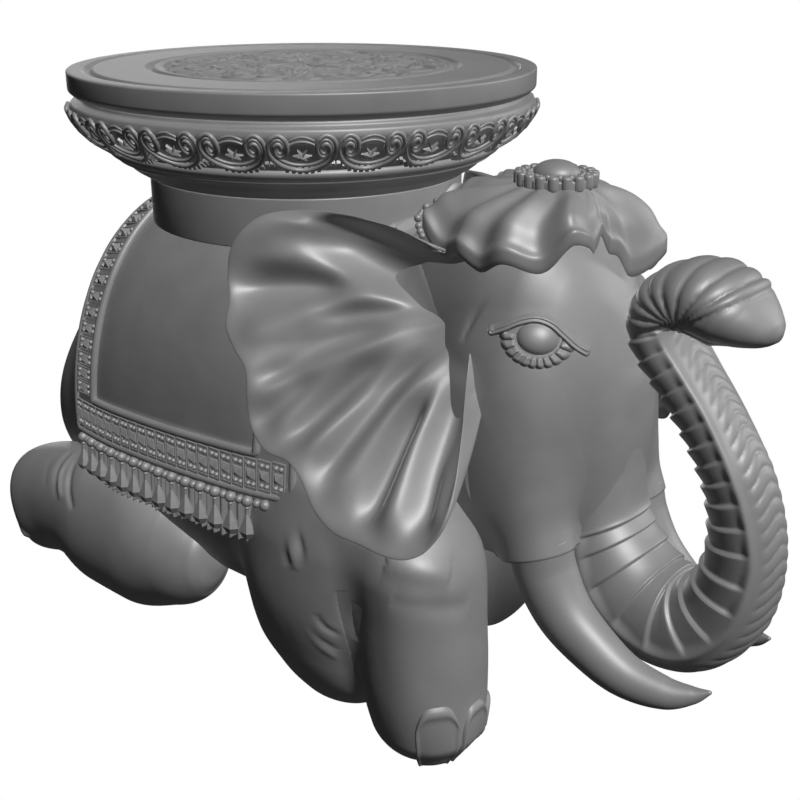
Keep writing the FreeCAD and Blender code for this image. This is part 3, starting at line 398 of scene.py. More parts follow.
def turned(profile, columns, centre=(0, 0)):
    """A profile of radius and height turned about an upright line, as a grid of rings."""
    radius, height = np.asarray(profile, float).T[..., None]
    turn = full_turn(columns)
    return np.stack([centre[0] + radius * np.cos(turn), centre[1] + radius * np.sin(turn),
                     height + 0 * turn], -1)


def turned_shape(profile, columns, top, foot):
    """A unit shape turned about its own upright line from radius and height rows, top first, and
    the heights of its two tips."""
    return capped(turned(profile, columns), [(0, 0, top), (0, 0, foot)])


def ball(rows=8, columns=12):
    """A unit ball: rings at even angles between its two poles."""
    a = (np.arange(rows) + 1) * PI / (rows + 1)
    return turned_shape(np.stack([np.sin(a), np.cos(a)], 1), columns, 1, -1)


def pyramid_stone():
    """A square stone: a low wall round it and four slopes to a point."""
    low = [(-1, -1, -0.8), (1, -1, -0.8), (1, 1, -0.8), (-1, 1, -0.8)]
    rim = [(-1, -1, 0.25), (1, -1, 0.25), (1, 1, 0.25), (-1, 1, 0.25)]
    vertices = np.array(low + rim + [(0, 0, 1)], float)
    quads = np.array([(3, 2, 1, 0), (0, 1, 5, 4), (1, 2, 6, 5), (2, 3, 7, 6), (3, 0, 4, 7)])
    return vertices, quads, [(4, 5, 8), (5, 6, 8), (6, 7, 8), (7, 4, 8)]


def cell_frame(side=0.16):
    """A flat frame one unit to each side, with a square window in it."""
    outer = np.array([(-1, -1), (1, -1), (1, 1), (-1, 1)], float)
    inner = outer * (1 - side)
    flat = np.concatenate([outer, inner])
    vertices = np.concatenate([np.column_stack([flat, np.full(8, -1.0)]),
                               np.column_stack([flat, np.full(8, 1.0)])])
    quads = []
    for k in range(4):
        n = (k + 1) % 4
        quads += [(8 + k, 8 + n, 12 + n, 12 + k), (n, k, 4 + k, 4 + n),
                  (k, n, 8 + n, 8 + k), (4 + n, 4 + k, 12 + k, 12 + n)]
    return vertices, np.array(quads), []


# Rows of radius and height of a faceted drop that hangs from its point, widest low down.
CUT_DROP = [(0.10, 0.0), (0.16, -0.35), (0.72, -1.05), (1.0, -1.45), (0.62, -1.85), (0.1, -2.0)]


def scatter(name, shape, centres, frames, sizes, slot, *nodes, smooth=True):
    """Copies of one small shape; frames holds three direction rows, for all or for each centre."""
    vertices, *faces = shape
    count = len(centres)
    sizes = np.broadcast_to(sizes, (count, 3))
    frames = np.broadcast_to(frames, (count, 3, 3))
    placed = np.einsum("vk,nk,nkj->nvj", vertices, sizes, frames) + np.asarray(centres)[:, None]
    shift = np.arange(count)[:, None, None] * len(vertices)
    order = -1 if np.linalg.det(frames[0]) < 0 else 1
    faces = [(np.reshape(f, (-1, corners)) + shift).reshape(-1, corners)[:, ::order]
             for f, corners in zip(faces, (4, 3))]
    put(add_mesh(name, placed.reshape(-1, 3), *faces, smooth=smooth), slot, *nodes)


def scatter_sides(name, shape, centres, frames, sizes, *nodes, smooth=True):
    """Copies of one small shape on the cloth's right side and their mirror image on its left."""
    for side, placed in (("right", np.asarray), ("left", mirrored)):
        scatter("%s_%s" % (side, name), shape, placed(centres), placed(frames), sizes, CLOTH_WOOD,
                *sided(side, nodes), smooth=smooth)


def tube_along(points, radius, sides=10):
    """A round cord along a path."""
    direction = unit(np.gradient(points, axis=0))
    side = unit(np.cross(direction, np.array([0.3, 0.5, 0.81])))
    up = np.cross(direction, side)
    turn = full_turn(sides)
    return (points[:, None] + radius * (np.cos(turn)[None, :, None] * side[:, None]
                                        + np.sin(turn)[None, :, None] * up[:, None]))


def rounded(profile, radius=1.0, steps=4):
    """A profile with each inner corner rounded by a short curve."""
    profile = [np.asarray(p, float) for p in profile]
    out = [profile[0]]
    for before, here, after in zip(profile, profile[1:], profile[2:]):
        a, b = before - here, after - here
        la, lb = np.linalg.norm(a), np.linalg.norm(b)
        cut = min(radius, la * 0.45, lb * 0.45)
        start, end = here + a / la * cut, here + b / lb * cut
        for t in np.linspace(0, 1, steps):
            out.append((1 - t) ** 2 * start + 2 * t * (1 - t) * here + t * t * end)
    out.append(profile[-1])
    return np.array(out)


# ---- body forms, in millimetres

TORSO = [
    (-240, 2, 138, 112, 124, 2.0), (-236, 36, 161, 92, 124, 2.0), (-224, 70, 185, 76, 124, 2.0),
    (-200, 96, 216, 56, 128, 2.1), (-165, 108, 257, 42, 137, 2.2), (-125, 121, 306, 32, 146, 2.2),
    (-60, 130, 320, 26, 148, 2.3), (0, 132, 322, 24, 150, 2.3), (60, 130, 320, 26, 150, 2.3),
    (110, 122, 316, 30, 150, 2.2), (150, 100, 310, 36, 160, 2.2), (190, 76, 300, 45, 170, 2.2),
]
SKULL = [
    (130, 54, 330, 180, 240, 2.2), (150, 62, 342, 160, 240, 2.3), (200, 69, 350, 150, 245, 2.4),
    (226, 66, 340, 146, 245, 2.5), (246, 57, 318, 152, 240, 2.5), (260, 47, 296, 160, 230, 2.5),
    (270, 37, 274, 165, 225, 2.4), (276, 28, 256, 175, 218, 2.3), (280, 14, 238, 190, 212, 2.0),
    (281, 1, 216, 210, 212, 2.0),
]
SHEATH = [
    (208, -34, 282, 12, 14, 2.2), (215, -42, 256, 25, 30, 2.2), (222, -47, 235, 29, 33, 2.2),
    (229, -49, 205, 29, 31, 2.2), (238, -51, 175, 27, 27, 2.1), (246, -53, 152, 24, 23, 2.0),
    (250, -54, 141, 23, 23, 2.0),
]
CHEEK = [
    (120, 190, -44, 20, 20, 12, 2.0), (135, 190, -44, 36, 36, 24, 2.2),
    (170, 188, -44, 44, 44, 32, 2.3),
    (210, 186, -42, 44, 44, 33, 2.3), (245, 184, -38, 36, 36, 28, 2.2),
    (268, 184, -30, 10, 10, 8, 2.0),
]
TRUNK = [
    (246, 0, 215, 33, 34, 2.2), (249, 0, 180, 34, 34, 2.2), (256, 0, 150, 35, 33, 2.2),
    (274, 0, 122, 35, 33, 2.2), (300, 0, 103, 35, 33, 2.2), (328, 0, 101, 34, 31, 2.2),
    (350, 0, 122, 29, 27, 2.2), (358, 0, 160, 24.5, 22.5, 2.2), (350, 0, 198, 23, 19.5, 2.2),
    (331, 0, 230, 23, 17, 2.2), (310, 0, 256, 24.5, 16, 2.2), (295, 0, 275, 28, 15, 2.2),
    (291, 0, 289, 30, 15, 2.2), (300, 0, 302, 32, 18, 2.2), (320, 0, 306, 33, 21, 2.2),
    (336, 0, 301, 32, 20, 2.2), (345, 0, 297, 27, 15.5, 2.2), (353, 0, 294, 20, 11, 2.1),
    (359.5, 0, 292, 12, 6.5, 2.0), (363, 0, 291, 3, 2, 2.0),
]
TUSK = [
    (250, -54, 150, 20, 20, 2.0), (256, -54, 130, 19.5, 19.5, 2.0), (270, -54, 108, 18, 18, 2.0),
    (290, -53, 92, 16, 16, 2.0), (313, -51, 80, 13.5, 13.5, 2.0), (338, -46, 76, 10, 10, 2.0),
    (354, -41, 79, 5.5, 5.5, 2.0), (364, -38, 84, 1, 1, 2.0),
]
FORELEG = [
    (0, 199, -98, 14, 13, 14, 2.0), (2, 199, -98, 21, 20, 21, 2.0), (8, 199, -98, 29, 29, 29, 2.1),
    (20, 200, -98, 35, 37, 35, 2.2), (60, 198, -98, 37, 45, 40, 2.2),
    (100, 197, -98, 35, 48, 41, 2.2),
    (128, 194, -98, 36, 49, 42, 2.2), (150, 184, -96, 38, 50, 40, 2.2),
    (170, 170, -92, 34, 45, 31, 2.2), (185, 160, -90, 12, 12, 12, 2.0),
]
ELBOW = [
    (6, 122, -96, 16, 16, 10, 2.0), (9, 122, -97, 27, 26, 18, 2.0),
    (18, 122, -99, 37, 36, 25, 2.0),
    (32, 122, -101, 46, 47, 32, 2.1), (54, 120, -104, 52, 60, 37, 2.2),
    (90, 122, -106, 56, 68, 41, 2.2),
    (130, 132, -102, 54, 72, 42, 2.2), (165, 142, -92, 44, 64, 38, 2.2),
    (190, 148, -84, 24, 36, 24, 2.0),
]
HINDLEG = [
    (2, -104, 62, 3, 3, 2.0), (-1, -104, 62, 14, 16, 2.0), (-10, -105, 62, 25, 29, 2.0),
    (-36, -106, 60, 35, 44, 2.0),
    (-80, -108, 60, 40, 58, 2.1), (-120, -110, 62, 40, 58, 2.1), (-150, -110, 64, 38, 50, 2.1),
    (-180, -110, 60, 36, 46, 2.2), (-205, -110, 52, 35, 44, 2.3), (-220, -110, 48, 28, 36, 2.3),
    (-226, -110, 46, 6, 8, 2.0),
]

torso_form = form_along_x(TORSO)
skull_form = form_along_x(SKULL)
cheek_form = form_upright(CHEEK)
sheath_form = form_swept(SHEATH)
trunk_form = form_swept(TRUNK, 900)
tusk_form = form_swept(TUSK)
foreleg_form = form_upright(FORELEG)
elbow_form = form_upright(ELBOW)
hindleg_form = form_swept(HINDLEG)


def on_right(form):
    """The field of a right-hand form and its mirror image."""
    return lambda p: form.field(folded_right(p))


def body_surface(form, rows, columns, others=(), lines=()):
    """A form's grid, grown together with its neighbours and with lines scored in it."""
    points, middle = form.grid(rows, columns)[:2]
    if others:
        points = grown_together(points, middle, form.field, others)
    return scored(points, middle, lines)


def make_torso():
    points = body_surface(torso_form, 180, 240, [(on_right(elbow_form), 22),
                                                 (skull_form.field, 16)])
    put_grid("torso_carving", points, WOOD, "torso")


def make_tusks():
    both_sides("tusk_ivory_form", tusk_form.grid(160, 60)[0], WOOD, "tusk")


# Creases scored in the right legs: width, height and points.
ELBOW_LINES = [
    (2.2, -1.5, [(138, -150, 88), (146, -145, 78), (158, -137, 70)]),
    (2.4, 1.2, [(136, -150, 82), (145, -144, 71), (156, -136, 63)]),
    (2.2, -1.4, [(146, -146, 96), (151, -142, 88), (160, -138, 83)]),
    (3.2, -3.2, [(163, -140, 118), (166, -137, 98), (170, -134, 76), (172, -132, 50)]),
    (3.4, -1.6, [(108, -146, 150), (116, -147, 134), (122, -146, 122)]),
    (3.4, 1.4, [(114, -144, 152), (123, -145, 136), (130, -143, 122)]),
    (3.0, -1.6, [(121, -142, 154), (131, -142, 138), (138, -139, 124)]),
]
FORELEG_LINES = [
    (3.0, -3.0, [(176, -136, 112), (172, -134, 98), (170, -132, 84)]),
    (9.0, 4.0, [(196, -134, 150), (212, -124, 146), (224, -108, 140)]),
    (6.0, -1.6, [(203, -138, 128), (222, -120, 122), (232, -98, 116)]),
]
HINDLEG_LINES = [
    (3.2, -3.2, [(-152, -118, 112), (-150, -134, 100), (-140, -143, 84)]),
    (2.6, 2.6, [(-146, -118, 113), (-143, -137, 101), (-132, -147, 86)]),
    (3.0, -3.2, [(-136, -124, 112), (-128, -142, 99), (-116, -149, 84)]),
    (2.6, -2.4, [(-163, -118, 108), (-164, -132, 98), (-157, -141, 86)]),
    (2.4, 2.2, [(-218, -134, 42), (-200, -142, 30), (-178, -145, 24)]),
    (2.0, -2.0, [(-221, -130, 36), (-203, -139, 24), (-180, -143, 18)]),
]
# The nails round the front of a foot: turn from outwards, half width in degrees, and height.
NAILS = [(50, 23, 56), (96, 20, 48), (136, 17, 38)]


def make_legs():
    foreleg = body_surface(foreleg_form, 150, 170, [
        (elbow_form.field, 12), (torso_form.field, 20), (skull_form.field, 10)], FORELEG_LINES)
    both_sides("foreleg_carving", foreleg, WOOD, "foreleg")
    elbow = body_surface(elbow_form, 150, 170, [
        (foreleg_form.field, 12), (torso_form.field, 22)], ELBOW_LINES)
    both_sides("elbow_carving", elbow, WOOD)
    hindleg = body_surface(hindleg_form, 170, 170, lines=HINDLEG_LINES)
    both_sides("hindleg_carving", hindleg, WOOD, "hindleg")


def nail_plate(turn, half, tall, rows=34, columns=30):
    """A flat arched nail with a raised rim, laid on the foot: its top edge falls with the 3.5th
    power of the distance from its middle."""
    u = np.linspace(-1, 1, columns)[None] + np.zeros((rows, 1))
    v = np.linspace(0, 1, rows)[:, None]
    z = 1 + v * (tall - 1) * (1 - 0.42 * np.abs(u) ** 3.5)
    station = np.clip(z / FORELEG[-1][0] * (STATIONS - 1), 0, STATIONS - 1).astype(int)
    angle = np.radians(turn + half * u)
    edge = np.maximum(np.abs(u), v + 0 * u)
    rim = 1.5 * bell(edge - 0.88, 0.06)
    lift = 2.2 * ease((1 - edge) / 0.07) + rim - 1.2
    radius = np.maximum(foreleg_form.radius(station, angle), 24 + 8 * np.clip(z / 12, 0, 1))
    faces = []
    for out in (lift, -3.5 + 0 * lift):
        face = foreleg_form.point(station, angle, radius + out)
        face[..., 2] = z
        faces.append(face)
    return sheet(*faces)


def make_toenails():
    for number, nail in enumerate(NAILS, start=1):
        both_sides("toenail_%d" % number, nail_plate(*nail), WOOD, "toenails")


TAIL = [
    (-231, 0, 214, 6, 6, 2.0), (-239, 0, 190, 8, 8, 2.0), (-243, 0, 166, 7, 7, 2.0),
    (-243, 0, 142, 6.5, 6.5, 2.0), (-241, 0, 128, 9.5, 9, 2.0), (-239, 0, 112, 8.5, 8, 2.0),
    (-237, 0, 98, 3, 3, 2.0),
]


def make_tail():
    """A rope of a tail with a tuft whose hairs are cut as flutes."""
    points, middle, share, turns = form_swept(TAIL).grid(160, 72)
    tuft = ease((share - 0.70) / 0.06)
    height = (tuft * 0.9 * np.sin(turns * 11)
              - 0.8 * (1 - tuft) * (np.sin(share * 60 * PI + turns) > 0.8))
    put_grid("tail_carving", raised(points, middle, height), WOOD, "tail")


# ---- trunk, eyes and head

# Share of the trunk's length at each rib of its inner side, and how far round from that side's
# middle the raised edge runs, in degrees.
TRUNK_RIBS = [0.10, 0.159, 0.186, 0.230, 0.280, 0.326, 0.369, 0.401, 0.442, 0.476, 0.515, 0.546,
              0.576, 0.604, 0.630, 0.655, 0.680, 0.705, 0.730, 0.755, 0.780, 0.805]
TRUNK_EDGE = [(0.0, 80), (0.16, 81), (0.23, 97), (0.33, 107), (0.42, 118), (0.50, 122),
              (0.60, 114), (0.70, 117), (0.80, 116), (1.0, 112)]
OUTER_RIBS = 29
# Shares of the trunk's length where its scales, its outer ribs and the flutes of its curl start.
SCALES_START, FINE_START = 0.145, 0.33
CURL_START = 0.80
CURL_X, CURL_Z = 316, 293
# Directions of the curl's flutes seen from its hole, in degrees from straight ahead.
CURL_FLUTES = [-60, -18, 33, 44, 62, 88, 117, 138, 158, 178, 200, 222, 244]


def trunk_relief(share, round_from_inner, points):
    """Overlapping scales on the inner side, fine ribs on the outer side, a raised edge between
    them, and wide flutes that fan out from the hole of the curl."""
    edge = np.interp(share, *np.array(TRUNK_EDGE).T)
    beside = round_from_inner - edge
    f = scale_steps(share, TRUNK_RIBS)
    inside = ease(-beside / 14)
    scales = -1.8 + 2.8 * f - 2.8 * ease((f - 0.90) / 0.10)
    ridge = 1.7 * bell(beside, 6.5)
    slant = 0.017 * ease((beside - 6) / (174 - edge))
    g = ((share - slant) * OUTER_RIBS * 2) % 1
    fine = 1.3 * (np.abs(np.sin(PI * g)) ** 0.4 - 0.8)
    outside = ease((beside - 13) / 14) * ease((share - FINE_START) / 0.05)
    start = ease((share - SCALES_START) / 0.012)
    height = start * (inside * scales + ridge + outside * fine)
    psi = np.degrees(np.arctan2(points[..., 2] - CURL_Z, points[..., 0] - CURL_X))
    psi = np.where(psi < -60, psi + 360, psi)
    h = scale_steps(psi, CURL_FLUTES)
    flutes = 2.6 * np.abs(np.sin(PI * h)) ** 0.5 - 1.6
    curl = ease((share - CURL_START) / 0.03)
    return (1 - curl) * height + curl * flutes


def make_trunk():
    points, middle, share, turns = trunk_form.grid(520, 160)
    inner = np.abs((np.degrees(turns) + 90 + 180) % 360 - 180)
    height = trunk_relief(share, inner, points)
    put_grid("trunk_carving", raised(points, middle, height), WOOD, "trunk")


# Lines scored in the right side of the head, width, height and points; the left side follows.
FACE_LINES = [
    (2.4, -1.8, [(262, -34, 236), (262, -36, 205), (262, -38, 175), (261, -40, 148)]),
    (1.8, -1.2, [(228, -66, 232), (224, -70, 215)]),
    (2.2, -1.6, [(213, -66, 300), (205, -68, 285), (200, -70, 270)]),
    (0.9, -1.0, [(206, -72, 204), (214, -70, 203), (222, -69, 202)]),
]


def make_head():
    head = body_surface(skull_form, 250, 260, [
        (on_right(sheath_form), 30), (on_right(cheek_form), 30), (trunk_form.field, 12),
        (torso_form.field, 10)], FACE_LINES)
    put_grid("head_carving", head, WOOD, "head")
    sheath = body_surface(sheath_form, 130, 120, [
        (skull_form.field, 30), (cheek_form.field, 24), (trunk_form.field, 8)], FACE_LINES)
    both_sides("tusk_sheath", sheath, WOOD)


# The eye on the right side: its middle on the head, the line from corner to corner, and outwards.
EYE = np.array([246.5, -60.5, 280.0])
EYE_LINE = unit(np.array([42.0, 24.0, -6.0]))
EYE_OUT = unit(np.array([0.50, -0.86, 0.10]))
LID = [(-27, -1.5), (-20, 2.5), (-12, 7.5), (-3, 10.5), (6, 9.0), (14, 4.0), (22, -1.5), (29, -5)]
LID_FOLD = [(-26, 1.5), (-16, 8.5), (-4, 13.8), (7, 12.0), (16, 6.0), (25, 0)]
LASHES = 12
# Degrees over which the lashes fan, half sizes of the eyeball, and reach of the carved patch.
LASH_SPREAD = 200
EYEBALL = 12.5, 9.5
EYE_HALF, EYE_BELOW, EYE_ABOVE = 33, 22, 19


def eye_relief(u, v):
    """Height over the head: a round eyeball, a lid with a groove along it, and a fan of short
    folds below."""
    ball_place = (u / EYEBALL[0]) ** 2 + ((v + 0.5) / EYEBALL[1]) ** 2
    height = np.where(ball_place < 1, 6.5 * np.sqrt(np.clip(1 - ball_place, 0, 1)) - 1.5, -1.0)
    swept = np.degrees(np.arctan2(v + 0.5, u))
    reach = np.sqrt(ball_place)
    below = ease((reach - 1.02) / 0.15) * ease((1.95 - reach) / 0.45)
    low = ease((12 - swept) / 10) * ease((swept + 188) / 8)
    fold = np.abs(np.sin(np.radians(swept) * LASHES * 180 / LASH_SPREAD)) ** 0.7
    height = height + low * below * (1.6 + 2.2 * fold)
    lid, crease = (line_distance(u, v, smooth_path(line, 40)) for line in (LID, LID_FOLD))
    height = np.maximum(height, bead_line(lid, 3.0, 6.0) - 0.3)
    return height - 1.6 * bell(lid, 0.6) - 2.0 * bell(crease, 1.4)


def head_field(p):
    """Distance from the head with its tusk sheaths and the root of the trunk grown together."""
    distance = soft_min(skull_form.field(p), on_right(sheath_form)(p), 30)
    return soft_min(distance, trunk_form.field(p), 12)


def eye_patch(rows=130, columns=100):
    """The skin round the eye: a flat grid moved along the outward line on to the head, then
    raised by the eye's relief, with its rim sunk below the skin."""
    u = np.linspace(-EYE_HALF, EYE_HALF, rows)[:, None] + np.zeros((1, columns))
    v = np.linspace(-EYE_BELOW, EYE_ABOVE, columns)[None] + np.zeros((rows, 1))
    rise = np.cross(EYE_OUT, EYE_LINE)
    rise = rise * np.sign(rise[2])
    p = EYE + u[..., None] * EYE_LINE + v[..., None] * rise
    flat = p.reshape(-1, 3)
    for _ in range(12):
        flat = flat - EYE_OUT * head_field(flat)[:, None] * 0.7
    rim = np.maximum(np.abs(u) / EYE_HALF, np.maximum(v / EYE_ABOVE, -v / EYE_BELOW))
    lift = eye_relief(u, v) * ease((1 - rim) / 0.14) - 3.2 * ease((rim - 0.84) / 0.16)
    return flat.reshape(p.shape) + EYE_OUT * lift[..., None]


def make_eyes():
    top = eye_patch()
    both_sides("eye_relief", sheet(top, top - EYE_OUT * 5), WOOD, "eye")


# ---- ears

# The ear's edge from the top of its root round the rear to the lobe and up its front edge.
EAR_EDGE = np.array([
    (172, -66, 319), (138, -70, 330), (105, -76, 334), (77, -84, 333), (63, -97, 330),
    (53, -108, 320), (48, -115, 308), (49, -120, 292), (56, -126, 279), (60, -133, 265),
    (72, -137, 254), (86, -141, 244), (91, -145, 221), (97, -147, 208), (109, -148, 199),
    (130, -149, 198), (142, -150, 190), (153, -150, 173), (168, -150, 164), (188, -148, 162),
    (206, -146, 160), (219, -142, 161), (228, -136, 167), (235, -128, 182), (233, -116, 200),
    (225, -100, 225), (216, -86, 250), (204, -68, 272),
], float)
EAR_THICKNESS = 6.5
EAR_HOLLOW = 9.0
# Lines of the ear's relief seen from the right: width, height, then points as X and Z. A rolled
# lip along the top, a deep hollow under it, and ridges and valleys that fan out from the root.
EAR_LINES = [
    (13, 9, [(49, 295), (50, 310), (58, 324), (74, 331), (90, 332), (117, 332), (141, 328),
             (166, 322), (181, 314), (191, 306)]),
    (12, -25, [(88, 322), (104, 319), (119, 315), (135, 309), (154, 303), (171, 298), (196, 292)]),
    (9, 4, [(63, 301), (76, 304), (94, 307), (109, 305), (122, 297), (141, 289)]),
    (9, -9, [(51, 279), (60, 286), (74, 291), (90, 294), (107, 293), (128, 288)]),
    (11, 7, [(62, 261), (75, 262), (92, 269), (106, 277), (123, 284), (144, 287), (166, 284)]),
    (5, -5, [(113, 274), (127, 279), (139, 282), (154, 282), (165, 281)]),
    (8, -8, [(88, 236), (101, 243), (116, 254), (129, 263), (143, 269), (159, 275)]),
    (9, 6, [(89, 220), (101, 231), (116, 246), (135, 260), (149, 267), (169, 276)]),
    (7, -4.5, [(95, 210), (104, 222), (113, 233), (124, 244)]),
    (8, 5, [(105, 203), (113, 214), (121, 227), (132, 241), (147, 257), (162, 269)]),
    (6, -4, [(123, 203), (127, 214), (133, 226), (143, 241), (158, 259)]),
    (8, 5, [(136, 198), (143, 214), (150, 229), (157, 243), (165, 257), (176, 272)]),
    (7, -6, [(146, 184), (152, 200), (158, 216), (165, 233), (171, 248), (179, 265)]),
    (8, 5, [(159, 176), (164, 190), (168, 205), (173, 222), (179, 240), (184, 256)]),
    (6, -8, [(184, 167), (184, 182), (184, 197), (184, 212), (185, 227), (188, 242)]),
    (9, 7.5, [(205, 163), (202, 179), (199, 193), (196, 208), (194, 226), (192, 246), (191, 261)]),
    (6, -7, [(221, 170), (214, 187), (209, 202), (205, 217), (202, 235), (199, 253)]),
    (6, 3, [(231, 178), (225, 191), (219, 203), (213, 215)]),
    (5, -2.5, [(222, 196), (216, 208), (211, 222), (207, 238), (204, 254)]),
]
# Rows on each side over which the ear's outward direction is averaged, and the quarter of an
# ellipse along which the ear grows from the head: its start, and its spans towards X, -Y and -Z.
EAR_CALM = 60
EAR_ROOT, EAR_ROOT_SPANS = (200, -50, 315), (10, 6, 50)


def ear_fade(share):
    return ease(np.minimum(share, 1 - share) / 0.25 + 0.12)


def ear_surface(rows=400, columns=160):
    """A thick sheet that runs out from a short root along rays to the edge, carved on both
    faces."""
    s = np.linspace(0, 1, rows)[:, None] + np.zeros((1, columns))
    loop = full_turn(columns)[None] + np.zeros((rows, 1))
    reach = ((1 - np.cos(loop)) / 2) ** 0.8
    face = np.sign(np.sin(loop)) * np.sqrt(1 - np.abs(np.cos(loop)) ** 8)
    edge = smooth_path(EAR_EDGE, rows)
    turn = PI / 2 * np.linspace(0, 1, rows)
    ahead, aside, down = EAR_ROOT_SPANS
    root = EAR_ROOT + np.stack([ahead * (1 - np.cos(turn)), -aside * np.sin(turn),
                                -down * np.sin(turn)], 1)
    ray = edge - root
    outward = unit(np.cross(unit(ray), unit(np.gradient(edge, axis=0))))
    outward *= -np.sign(outward[:, 1:2])
    window = np.ones(2 * EAR_CALM + 1) / (2 * EAR_CALM + 1)
    outward = unit(np.stack([np.convolve(np.pad(column, EAR_CALM, "edge"), window, "valid")
                             for column in outward.T], 1))
    flat = root[:, None] + ray[:, None] * reach[..., None]
    broad, fine = (relief_along(flat[..., [0, 2]], lines, 60, ear_fade)
                   for lines in (EAR_LINES[:2], EAR_LINES[2:]))
    carved = 0.8 * broad * ease(reach / 0.15) + 1.1 * fine * ease((reach - 0.08) / 0.30)
    carved = carved * (1 - 0.45 * ease((reach - 0.85) / 0.15))
    for _ in range(10):
        carved[1:-1] = (carved[:-2] + 2 * carved[1:-1] + carved[2:]) / 4
        carved = (np.roll(carved, 1, 1) + 2 * carved + np.roll(carved, -1, 1)) / 4
    bow = -EAR_HOLLOW * (1 - (2 * reach - 1) ** 2) * ease(s / 0.3) * (1 - 0.75 * s)
    ends = np.sqrt(np.clip(np.minimum(s, 1 - s) / 0.02, 0, 1))
    lift = carved + bow + face * EAR_THICKNESS * (1 - 0.35 * reach) * ends / 2
    return flat + outward[:, None] * lift[..., None]


def make_ears():
    both_sides("ear_carving", ear_surface(), WOOD, "ear")


# ---- headcloth and medallion

CROWN_X, CROWN_Z = 213, 356
# Share of the way round from the front, then the hem's reach and height.
HEM = np.array([
    (0.00, 40, 327), (0.05, 38, 330), (0.10, 42, 326), (0.20, 59, 331), (0.25, 63, 331),
    (0.31, 65, 325), (0.40, 68, 320), (0.50, 70, 318), (0.60, 71, 319), (0.70, 78, 324),
    (0.78, 80, 334), (0.88, 63, 344), (1.00, 56, 346),
])
# Ridges and valleys of the folds round one side from the front to the rear: share of the half
# turn, and height.
CLOTH_FOLDS = [(-0.06, 3.5), (0.0, -0.5), (0.06, 3.5), (0.145, -2.2), (0.245, 5.5), (0.335, -4.2),
               (0.44, 5.5), (0.515, -1.8), (0.585, 4.5), (0.66, -3.4), (0.735, 5.0), (0.80, -3.0),
               (0.87, 4.0), (0.935, -2.0), (1.0, 2.0)]
CLOTH_SIDE = 7.0
# Shares of the way round the cloth's section: where its upper face ends, and where its hem turns.
CLOTH_FACE, CLOTH_TURN = 0.68, 0.655
CLOTH_INNER = 18
HEM_BEADS = 34
DOME = 0.95


def cloth_fold(place):
    """Soft folds: the height eases from each ridge to the next valley."""
    table = np.array(CLOTH_FOLDS)
    height = np.full(np.shape(place), table[0, 1])
    for (a, low), (b, high) in zip(table, table[1:]):
        height = height + (high - low) * ease((place - a) / (b - a))
    return height


def headcloth_surface(rows=560, columns=110):
    """A draped round cloth: a dome from the medallion to the hem, folds that grow outwards, a
    thick hem, and a lower fall on the left side in front."""
    turn = full_turn(rows)[:, None] + np.zeros((1, columns))
    around = (turn + PI) % (2 * PI) - PI
    place = np.abs(around) / PI
    reach, hem = (c.reshape(turn.shape) for c in smooth_rows(HEM, place.ravel()).T)
    fall = 21 * ease((around + 0.15) / 0.5) * ease((1.75 - around) / 0.7)
    hem, reach = hem - fall, reach + 0.30 * fall
    loop = np.linspace(0, 1, columns, endpoint=False)[None] + np.zeros((rows, 1))
    back = ease((loop - CLOTH_FACE) / 0.30)
    under = ease((loop - CLOTH_TURN) / 0.035)
    t = np.clip(loop / CLOTH_FACE, 0, 1) * (1 - back) + 0.02 * back
    drop = ((1 - np.sqrt(np.clip(1 - (DOME * t) ** 2, 0, 1))) / (1 - np.sqrt(1 - DOME ** 2)))
    folds = cloth_fold(place + 0.022 * np.sin(2 * PI * t)) * t ** 0.9
    radius = (CLOTH_INNER + (reach - CLOTH_INNER) * t + folds * 0.5 * t
              - under * 1.5 * (1 - back))
    z = (CROWN_Z - (CROWN_Z - hem - 4) * drop ** 0.9 + folds * 0.95 - under * CLOTH_SIDE
         - 3.0 * bell(loop - 0.60, 0.05))
    return np.stack([CROWN_X + radius * np.cos(turn), radius * np.sin(turn), z], -1)


def make_headcloth():
    """The cloth, and small uneven beads along the rear edges of its hem."""
    put(ring_grid("headcloth_carving", headcloth_surface()), CLOTH_WOOD, "headcloth")
    place = np.linspace(0.73, 0.99, HEM_BEADS)
    reach, hem = smooth_rows(HEM, place).T
    wave = np.sin(np.arange(HEM_BEADS) * 2.4)
    r = reach + 1.5 + wave
    centres = np.stack([CROWN_X + r * np.cos(place * PI), -r * np.sin(place * PI),
                        hem - 1.5 + 1.5 * wave], 1)
    scatter_sides("hem_beads", ball(), centres, np.eye(3), (2.0 + 0.5 * wave)[:, None])


def medallion_ring(name, count, radius, height, size, shape, *nodes, first=0.0):
    """Copies of a shape round the crown, each with its own outward, sideways and up."""
    turn = full_turn(count) + first
    c, s, zero = np.cos(turn), np.sin(turn), 0 * turn
    centres = np.stack([CROWN_X + radius * c, radius * s, height + zero], 1)
    frames = np.stack([np.stack(row, 1) for row in ((c, s, zero), (-s, c, zero),
                                                    (zero, zero, zero + 1))], 1)
    scatter(name, shape, centres, frames, size, CROWN_WOOD, *nodes)


BARREL = [(0.25, 1.0), (0.62, 0.97), (0.90, 0.86), (1.0, 0.62), (1.0, -0.4), (0.96, -0.75),
          (0.78, -0.95), (0.4, -1.0)]
STONE_RADIUS, STONE_HEIGHT, DISC_RADIUS = 14.5, 8.5, 23.5


